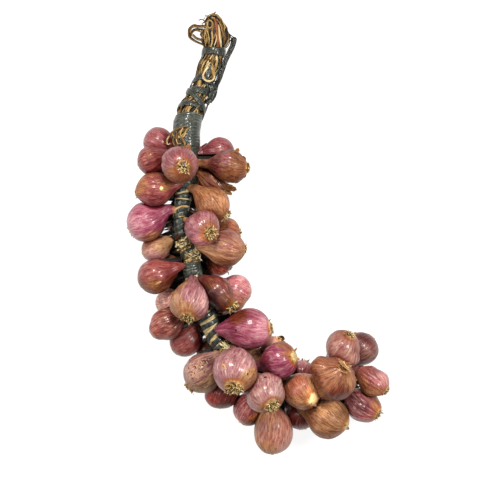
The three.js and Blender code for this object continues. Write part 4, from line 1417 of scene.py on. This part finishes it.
def neck_shade_shred(bulb, core, random, k):
    """A near-black shred from the core along and under a neck: old leaf, and painted shade there."""
    middle, radius = core.nearest(bulb.middle(np.array(bulb.end_share)))
    across = unit(np.cross(bulb.axis, UP))
    spread = random.uniform(-1, 1)
    start = middle + across * spread * 7 - UP * random.uniform(0, radius)
    finish = bulb.along(-0.4) + across * spread * 0.8 * bulb.radius
    finish = finish - UP * random.uniform(0.2, 0.8) * bulb.radius
    t = steps(6)
    path = start + (finish - start) * t - UP * np.sin(math.pi * t) * random.uniform(-1, 3)
    wide = random.uniform(1.6, 3.2) * (1 - 0.5 * t[:, 0] ** 2)
    faces_up = unit(UP + across * random.normal(0, 0.4))
    return shred(path, faces_up, wide, random.uniform(-0.9, -0.45), k, cup=0.3)


def gap_shade_shred(start, end, half_width, random, k):
    """A pointed near-black shred in a gap, painted shade, fanned out from the others there."""
    t = steps(10)
    finish = end + random.normal(0, 0.35, 3) * half_width
    bow = unit(random.normal(size=3)) * random.uniform(1, 2.5)
    path = start + random.normal(0, 1, 3) + (finish - start) * t * random.uniform(0.7, 0.95)
    path = path + bow * np.sin(math.pi * t) - UP * k
    wide = half_width * random.uniform(0.55, 0.95) * (1 - 0.8 * t[:, 0] ** 4)
    return shred(path, UP, wide, random.uniform(-0.8, -0.25), k, 0.25, random.normal(0, 0.5))


def core_shade_shred(core, start, end, random, k):
    """A near-black shred, painted shade, that sticks out low from one side of the core or the other."""
    hand = 1 if k % 2 else -1
    distance = random.uniform(start, end)
    middle, ahead, side, up = core.frame(np.array(distance))
    outward = turned(side * hand, up, np.radians(random.uniform(-70, -10)))
    length = random.uniform(4, 9)
    t = steps(6)
    path = middle + outward * core.radius(distance) * 0.8
    path = path + (outward + ahead * random.normal(0, 0.3)) * t * length
    wide = random.uniform(2.0, 3.6) * (1 - 0.5 * t[:, 0] ** 2)
    return shred(path, up, wide, random.uniform(-0.9, -0.45), k, cup=0.2)


def shade_shreds(bulbs, core):
    """Dark shreds of old leaf under the necks, in the gaps and beside the core, near black to paint the shade
    there.
    """
    random = seeded(SHRED_SEED)
    necks = [bulb for bulb in bulbs if bulb.number != BARE_NECK]
    shapes = [neck_shade_shred(bulb, core, random, k) for bulb in necks for k in range(SHREDS_A_NECK)]
    shapes += [gap_shade_shred(*row, random, k) for row in GAP_SHADE_SHREDS for k in range(SHREDS_A_GAP)]
    for start, end, count in CORE_SHADE_SHREDS:
        shapes += [core_shade_shred(core, start, end, random, k) for k in range(2 * count)]
    return shapes


ROUTE_STEP = 1.2
LOOSE_STEP = 0.8
DEGREE = 0.14  # what a degree round the core counts for when a route's points are spaced, in millimetres
TANGLE_POINTS = 5


def on_core(core, route):
    """A smooth path round the core and its outward directions, from rows of distance, angle and rise."""
    scale = (1.0, DEGREE, 1.0)
    distance, angle, rise = (smooth_path(np.array(route, float) * scale, ROUTE_STEP) / scale).T
    middle, outward = core.around(distance, np.radians(angle))
    reach = core.radius(distance) * WRAP_SHARE + WRAP_GAP + rise
    return middle + outward * reach[:, None], outward


def strap(core, half_width, lift, route, seed, tone=0.5, thickness=0.5, ends=0.8):
    path, outward = on_core(core, [(*row, lift) for row in route])
    crease = STRAP_CREASE * sway(STRAP_SEED + seed, 5.0, np.arange(len(path)) * ROUTE_STEP)
    wide = half_width * tapered(len(path), ends)
    return ribbon(path + outward * crease[:, None], outward, wide, thickness, tone, seed)


def tangle(core, start, end, first, last, count, seed):
    random = seeded(seed)
    shapes = []
    for k in range(count):
        reach = random.uniform(0.3, 0.55)
        begin = random.uniform(0, 1 - reach)
        angle = first + (last - first) * (begin + reach * np.linspace(0, 1, TANGLE_POINTS))
        distance = random.uniform(start, end) + random.normal(0, 1.3, TANGLE_POINTS)
        rise = random.uniform(-0.4, 1.0) + np.abs(random.normal(0, 1.0, TANGLE_POINTS))
        path, outward = on_core(core, np.stack([distance, angle, rise], axis=1))
        wide = random.uniform(0.45, 1.0) * tapered(len(path), 0.4)
        tone = random.uniform(0.1, 1.25)
        shapes.append(ribbon(path, outward, wide, 0.22, tone, seed + k, random.normal(0, 0.7)))
    return shapes


# Strands on the upper side of the head and under its band: rise off the core, half width, tone, blush, and
# the x and y that they pass through.
TOP_STRANDS = [
    (0.9, 1.5, 0.35, 1, [(-38.1, 194.4), (-37, 191.9), (-36, 187.6), (-35.6, 182.3), (-35, 175.3),
        (-34.5, 167.5)]),
    (0.6, 0.9, 0, 0.6, [(-39.4, 191.9), (-38.4, 185.9), (-38, 180.9), (-38.4, 176.8), (-39, 168.7)]),
    (0.9, 0.8, 0.65, 0, [(-41.1, 184.4), (-40.1, 180.9), (-39.8, 176.8), (-40.1, 172), (-41.5, 167.5)]),
    (0.9, 1.1, 0.75, 0, [(-34.2, 187.9), (-33.5, 181.7), (-32.8, 177.1), (-32.4, 172), (-31.8, 167.3)]),
    (0.4, 0.7, -0.6, 0, [(-32.6, 186), (-31.8, 181), (-30.7, 172.1), (-30.3, 167.3)]),
    (0.7, 0.9, 0.4, 0, [(-31.5, 188), (-30.1, 182.5), (-29.3, 175.5), (-29.4, 168.7)]),
    (0.6, 1.1, 0.05, 0, [(-37.1, 194.2), (-34.4, 193.8), (-31.8, 192.2), (-29.4, 189.2), (-27.2, 185.4),
        (-26, 181.5), (-26.3, 177.7), (-28, 172.3), (-29.4, 168.1)]),
    (0.7, 0.8, 0.3, 0, [(-34.5, 192), (-31.4, 187.8), (-30.1, 183.9), (-28.6, 179), (-28, 173.5)]),
    (1.1, 0.5, 0.75, 0, [(-38.3, 168.1), (-36.9, 172.5), (-36.2, 175.3), (-36.6, 180.4)]),
    (0.5, 0.8, -0.7, 0, [(-43.6, 183.8), (-42.1, 179.6), (-41.5, 175.4), (-42, 171.5)]),
    (1.1, 0.6, 0.65, 0, [(-50.6, 191.2), (-47.9, 187.3), (-45, 183.2), (-43.6, 178.9), (-42.8, 174.3),
        (-43.2, 169.7)]),
    (0.9, 0.6, 0.55, 0, [(-51, 188.8), (-48.5, 185.2), (-46.3, 181.1), (-45, 176.9), (-45.2, 170.7)]),
    (0.8, 0.5, 0.6, 0, [(-50.2, 185.9), (-49.6, 181.8), (-48.5, 177.9), (-46.7, 174.4), (-46.1, 169)]),
    (0.7, 0.9, 0.25, 0, [(-49.9, 176.5), (-49.4, 172.9), (-47.6, 168.7)]),
    (2.4, 0.7, 0.65, 0, [(-43.6, 191.3), (-44.4, 188.9), (-44.1, 186), (-42.1, 184.8), (-40.1, 186.2),
        (-39.8, 188.7), (-40.8, 191.2), (-42.7, 192.2), (-44, 190.6)]),
    (1.2, 1.3, -0.7, 0, [(-42.6, 190.5), (-42.2, 188.2), (-42, 186.4)]),
    (1.6, 0.4, 0.7, 0, [(-48.2, 192.4), (-47.1, 194.8), (-45.4, 196.5), (-43.6, 195.6), (-43.4, 193.5)]),
    (1.8, 0.7, 0, 0, [(-48.9, 190), (-46.8, 191.3), (-45, 194), (-43, 195.3), (-40.3, 194.8)]),
    (1, 0.6, 0.7, 0, [(-43.4, 158.9), (-46.9, 153.8), (-49, 149.6), (-50, 143.2)]),
    (0.9, 0.9, 0.1, 0, [(-47.1, 159.4), (-43.8, 157.1), (-41.1, 153.7)]),
    (0.9, 0.9, 0.35, 0, [(-38.6, 160.5), (-39.7, 156.9), (-40.7, 153.2)]),
    (1.2, 1.2, 0.7, 0, [(-36, 160.1), (-35.8, 154.9), (-36.5, 149.6)]),
    (1, 1.1, 0.35, 0.2, [(-32.9, 160.3), (-32.7, 154.6), (-33.7, 150)]),
    (0.5, 0.7, -0.6, 0, [(-34.4, 160), (-34.2, 154.6), (-35, 150.4)]),
    (0.7, 0.9, 0.2, 0, [(-49.4, 157.2), (-51.6, 151.9), (-53.2, 147.2), (-54.8, 140.8)]),
    (0.7, 0.9, 0.4, 0, [(-47, 156.1), (-49.3, 150.5), (-51.1, 146), (-52.4, 141.4)]),
    (1.8, 2.2, 0, 1, [(-69.4, -1.6), (-71, -4), (-72.8, -6.6)]),
]


def on_top(core, route, rise):
    """A smooth path on the core's upper side and its outward directions, from rows of x and y."""
    fine = smooth_path([(x, y, 0.0) for x, y in route], 1.0)
    gaps = np.linalg.norm(fine[:, None, :2] - core.rows[:, :2], axis=2)
    nearest = core.rows[gaps.argmin(1)]
    across = fine - nearest[:, :3]
    across[:, 2] = 0
    reach = nearest[:, 3] * WRAP_SHARE
    spare = reach**2 - (across**2).sum(1)
    height = np.sqrt(np.maximum(spare, (0.3 * reach) ** 2))
    height = np.convolve(np.pad(height, 2, "edge"), np.full(5, 0.2), "valid")
    path = np.column_stack([fine[:, :2], nearest[:, 2] + height + rise])
    return path, unit(across + UP * height[:, None])


def top_strand(core, rise, half_width, tone, blush, route, seed):
    path, outward = on_top(core, route, rise)
    path[:, 2] -= 0.9 * rise * (1 - tapered(len(path), 0.0))
    return ribbon(path, outward, half_width * tapered(len(path), 0.5), 0.35, tone, seed, blush=blush)


# Loose loops and ends: half width, half thickness, tone, and the x, y and z that they pass through.
HEAD_LOOPS = [
    (0.65, 0.45, 0.15, [(-45, 190, 15), (-42.5, 193.5, 17), (-41.2, 195.2, 17), (-39.5, 197.9, 15.5),
        (-36.6, 200.6, 15)]),
    (0.45, 0.4, 0.3, [(-40, 190, 16), (-43.4, 194, 17), (-44.6, 196.4, 16.5), (-46.6, 197.2, 15)]),
    (0.45, 0.4, 0, [(-43, 188, 16), (-47.4, 192.4, 16), (-50.4, 193.6, 14), (-52.6, 192.8, 12.6)]),
    (0.55, 0.45, 0.15, [(-27, 184, 14), (-25.2, 180.2, 16), (-23.4, 177.9, 17), (-22.7, 174.9, 17),
        (-24.8, 173.1, 16), (-27.6, 170.3, 14)]),
]
HANGING_LOOP = [
    (0.8, 0.5, 0.32, [(-47, 169.5, 13), (-50.3, 171.2, 12.6), (-54.4, 172.9, 12), (-59, 175.7, 11.6),
        (-61.4, 178.3, 11.5), (-61.8, 181.8, 11.5), (-61.3, 185.2, 11.5), (-59, 187.7, 11.6),
        (-56.3, 188.8, 12), (-53.5, 188.1, 12.6), (-47, 188.1, 14)]),
    (0.8, 0.5, 0.47, [(-47, 172.5, 14), (-51.2, 174.7, 13), (-54.4, 176, 12.6), (-57.6, 178.6, 12.2),
        (-59.5, 181.3, 12), (-59.8, 184, 12), (-58.6, 186.3, 12.2), (-56.3, 187, 12.6),
        (-53.5, 186.6, 13), (-47, 186.3, 14)]),
    (0.9, 0.5, 0.02, [(-60, 177.6, 12), (-58.9, 181.4, 12.6), (-57.6, 184, 13), (-55, 184.9, 13.4),
        (-51.6, 184.6, 13.6), (-46, 183.4, 14)]),
    (0.8, 0.5, 0.37, [(-59.4, 179.4, 12.6), (-57.8, 182.4, 13), (-55.8, 183.6, 13.4),
        (-52.6, 183.2, 13.6), (-49, 181.4, 14), (-46, 180, 14)]),
    (0.7, 0.5, -0.13, [(-48, 171, 12), (-55.5, 174.4, 11.4), (-60.2, 178.6, 11), (-60.8, 182.6, 11),
        (-59.4, 185.6, 11.2), (-55, 187.6, 11.6), (-48, 187, 12.6)]),
    (0.7, 0.5, -0.08, [(-47, 174.4, 13), (-51.4, 175.8, 12.4), (-55, 177.4, 12.2), (-57.6, 180.2, 12.2)]),
]
BOW = [
    (0.95, 0.5, 0.37, [(-60.5, 92.5, 51), (-64.5, 94, 51.5), (-70.6, 92.5, 50), (-76, 89.4, 47),
        (-79, 84.9, 44.6), (-79.8, 80.5, 43.8)]),
    (0.85, 0.5, 0.32, [(-62.5, 91.4, 52), (-68, 89.4, 52.3), (-72.8, 86, 51), (-74.8, 81.4, 50),
        (-72.6, 77.4, 51), (-69, 75.8, 53)]),
    (0.95, 0.5, 0.47, [(-66, 93.4, 52.4), (-68.2, 88, 53.4), (-66.4, 83.4, 54.6), (-64.4, 79, 55),
        (-65.2, 74.8, 54.8), (-67.4, 73.6, 54.6)]),
    (0.8, 0.5, 0.32, [(-74.8, 89, 48), (-74, 83, 49), (-71.4, 77.6, 52), (-68.4, 74.6, 54),
        (-65.2, 74.6, 54.8), (-64, 78, 55)]),
    (0.8, 0.45, 0.62, [(-72, 90, 50.4), (-69.8, 86, 52.6), (-67, 84.6, 54), (-64.6, 86.6, 54),
        (-63, 91, 52.6), (-61, 93.4, 51.4)]),
    (0.8, 0.45, 0.22, [(-70.2, 91, 51), (-72, 86.4, 51.4), (-69.6, 81.6, 53), (-66.4, 80.2, 54.2),
        (-64.6, 82.6, 54.2)]),
    (0.7, 0.45, 0.57, [(-66.8, 91.6, 52.8), (-70.2, 88.4, 52.6), (-71.8, 83.4, 52), (-70.4, 79, 53),
        (-67.4, 79.2, 54.4)]),
    (0.6, 0.4, 0.82, [(-78.4, 86, 46), (-80.6, 82.6, 44.6), (-80, 78.6, 44), (-77.6, 79.4, 45)]),
    # These two near-black strands paint the shade inside the bow.
    (1, 0.4, -0.58, [(-73, 89, 46.5), (-71, 84, 49), (-68, 80, 51), (-66, 77, 52)]),
    (1, 0.4, -0.58, [(-62, 91, 50.5), (-66, 88.6, 51), (-70, 86, 50.6), (-73.4, 84, 48)]),
    (0.9, 0.45, 0.22, [(-62, 92.6, 51.8), (-66.4, 91, 52.6), (-70, 87.6, 52.2), (-70.6, 83, 52.6),
        (-68, 78, 54)]),
    (0.8, 0.45, 0.52, [(-76, 88.4, 47.6), (-73.4, 85.4, 50.4), (-69.6, 84.4, 52.8), (-66, 87, 53.4),
        (-63.6, 90, 52.6)]),
    (0.8, 0.45, 0.12, [(-75.6, 86.8, 48), (-73.6, 80.6, 50.6), (-70.6, 76.4, 52.8), (-66.6, 75.8, 54.6)]),
]
TEARDROP = [
    (0.95, 0.4, 0.85, [(-41.3, 155.5, 23), (-42.6, 152, 25), (-44.6, 148.4, 27.5), (-46.9, 144.7, 29.5),
        (-48.1, 141.4, 31), (-47.2, 138.4, 32), (-44.3, 136.5, 33), (-41.1, 136.4, 33),
        (-38.8, 138, 32.4), (-37.8, 141, 31)]),
    (1.5, 0.4, 0.6, [(-39.6, 137.6, 32), (-38.5, 140, 31), (-38.7, 143.6, 29.6), (-39.4, 147.6, 27.8),
        (-40.7, 151.6, 25.6), (-41.4, 155, 23)]),
]
STRIP_LOOP = [
    # The thin run up from the collar, the knot, and the doubled strip beyond it.
    (0.75, 0.5, -0.4, [(-50.6, 98.6, 35), (-49.2, 101.6, 34), (-47.6, 105.4, 32), (-45.6, 110.4, 30),
        (-43.8, 115.8, 28), (-42, 121, 26.5)]),
    (2.1, 0.5, 0.2, [(-45.5, 136.6, 27.4), (-42.2, 135.6, 28.6), (-39, 132, 28), (-37.4, 127.6, 26),
        (-38.8, 122.6, 24.4), (-42.4, 117.6, 25)]),
    (1.8, 0.5, 0.7, [(-43, 133, 28), (-40.6, 130, 28.8), (-40.2, 126, 28), (-42, 121, 27),
        (-44.4, 115.4, 27.4)]),
    (1.7, 0.5, 0, [(-36.6, 137, 22), (-36, 132, 25), (-37.6, 127, 27), (-40.4, 122.4, 27.6),
        (-43, 118.4, 26.6)]),
    (1.5, 0.6, -1, [(-41, 126.4, 25.5), (-38.3, 131.2, 24.2), (-35.1, 138.4, 21), (-32.2, 146.8, 18),
        (-29.3, 154.8, 16), (-25.1, 163.9, 15), (-22.6, 169.8, 14.6), (-21.3, 175, 14.5),
        (-20.4, 176.6, 14.5), (-19.2, 175.9, 14.5), (-20.2, 170.4, 14.6), (-22.7, 164.7, 15),
        (-27.1, 155.8, 16), (-29.8, 148, 18), (-32.7, 139.4, 21), (-35.8, 132.6, 24.2),
        (-38, 127.6, 25.5)]),
    (0.45, 0.4, -0.4, [(-28, 183, 15), (-26.2, 182, 15.6), (-24.5, 180.2, 15.6), (-21.7, 178.1, 15),
        (-20.4, 176, 14.6)]),
]


def loose(rows, seed, ends=0.6):
    """Strands along free routes in space, with their flat sides up."""
    shapes = []
    for k, (half_width, half_thickness, tone, points) in enumerate(rows):
        path = smooth_path(points, LOOSE_STEP)
        side, up = square_to(directions_along(path))
        lean = 0.3 * sway(seed + k, 9, np.arange(len(path)) * LOOSE_STEP)
        wide = half_width * tapered(len(path), ends)
        shapes.append(ribbon(path, unit(up + side * lean[:, None]), wide, half_thickness, tone, seed + k))
    return shapes


# ---- Assembly ----

add_camera()
add_light()
add_floor()

core = Core("leaf_core", "strip_head_band")
bulb_names = sorted(name for name in frame["nodes"] if name.startswith("bulb_"))
bulbs = [Bulb(name, core, number) for number, name in enumerate(bulb_names, 1)]
skins = {name: skin_material(name, colours) for name, colours in SKINS.items()}
slot_of = {row["node"]: row["material_slot"] for row in frame["record"]["subparts"]}

for bulb in bulbs:
    share, angle, points, outward = bulb_skin(bulb)
    points, gaps = pressed(points, outward, bulb, bulbs)
    skin = tube(points, **skin_values(bulb, share, angle, points, outward, gaps))
    flakes = [flake(bulb, *row[1:], seed) for seed, row in enumerate(FLAKES) if row[0] == bulb.number]
    scars = [scar(bulb, *row[1:], seed) for seed, row in enumerate(SCARS) if row[0] == bulb.number]
    shape = merged([skin] + rootlets(bulb) + shards(bulb) + flakes + scars + speckles(bulb))
    slot = slot_of[bulb.node]
    add_piece(f"shallot_{bulb.number:02d}", shape, skins[slot], bulb.node)


def each(make, rows, seed, **look):
    """A strand for each row of a table."""
    return [make(core, *row, seed=seed + k, **look) for k, row in enumerate(rows)]


raffia = core_strands(core) + shade_shreds(bulbs, core) + each(top_strand, TOP_STRANDS, 30) + loose(HEAD_LOOPS, 60)
raffia += each(strap, STRAW_FAN, 100, tone=0.95, thickness=0.3, ends=0.5)
raffia += each(winding, RAFFIA_TURNS, 80, tone=0.84)
raffia += each(strap, STRAW_LINES, 90, tone=0.85, thickness=0.35, ends=0.2)
for k, row in enumerate(TANGLES):
    raffia += tangle(core, *row, seed=TANGLE_SEED + 50 * k)
stalk = each(strap, STALK_STRAPS, 10) + each(strap, [TONGUE], 18, ends=0.2)
plait = each(winding, PLAIT_TURNS, 20, tone=0.68) + each(strap, PLAIT_STRAPS, 30)

leaf = leaf_material("dry_leaf")
strip = strip_material("rubber_strip")
for name, shapes, material, node in [
    ("raffia_core", raffia, leaf, "leaf_core"),
    ("raffia_loop", loose(HANGING_LOOP, 50), leaf, "raffia_hanging_loop"),
    ("raffia_teardrop_loop", loose(TEARDROP, 65, ends=0.5), leaf, "raffia_teardrop"),
    ("raffia_bow_strands", loose(BOW, 70), leaf, "raffia_bow"),
    ("rubber_head_band", each(winding, HEAD_BAND, 1), strip, "strip_head_band"),
    ("rubber_stalk_windings", stalk, strip, "strip_stalk_wraps"),
    ("rubber_plait_windings", plait, strip, "strip_plait_wraps"),
    ("rubber_loop", loose(STRIP_LOOP, 90, ends=0.9), strip, "strip_hanging_loop"),
]:
    add_piece(name, merged(shapes), material, node)
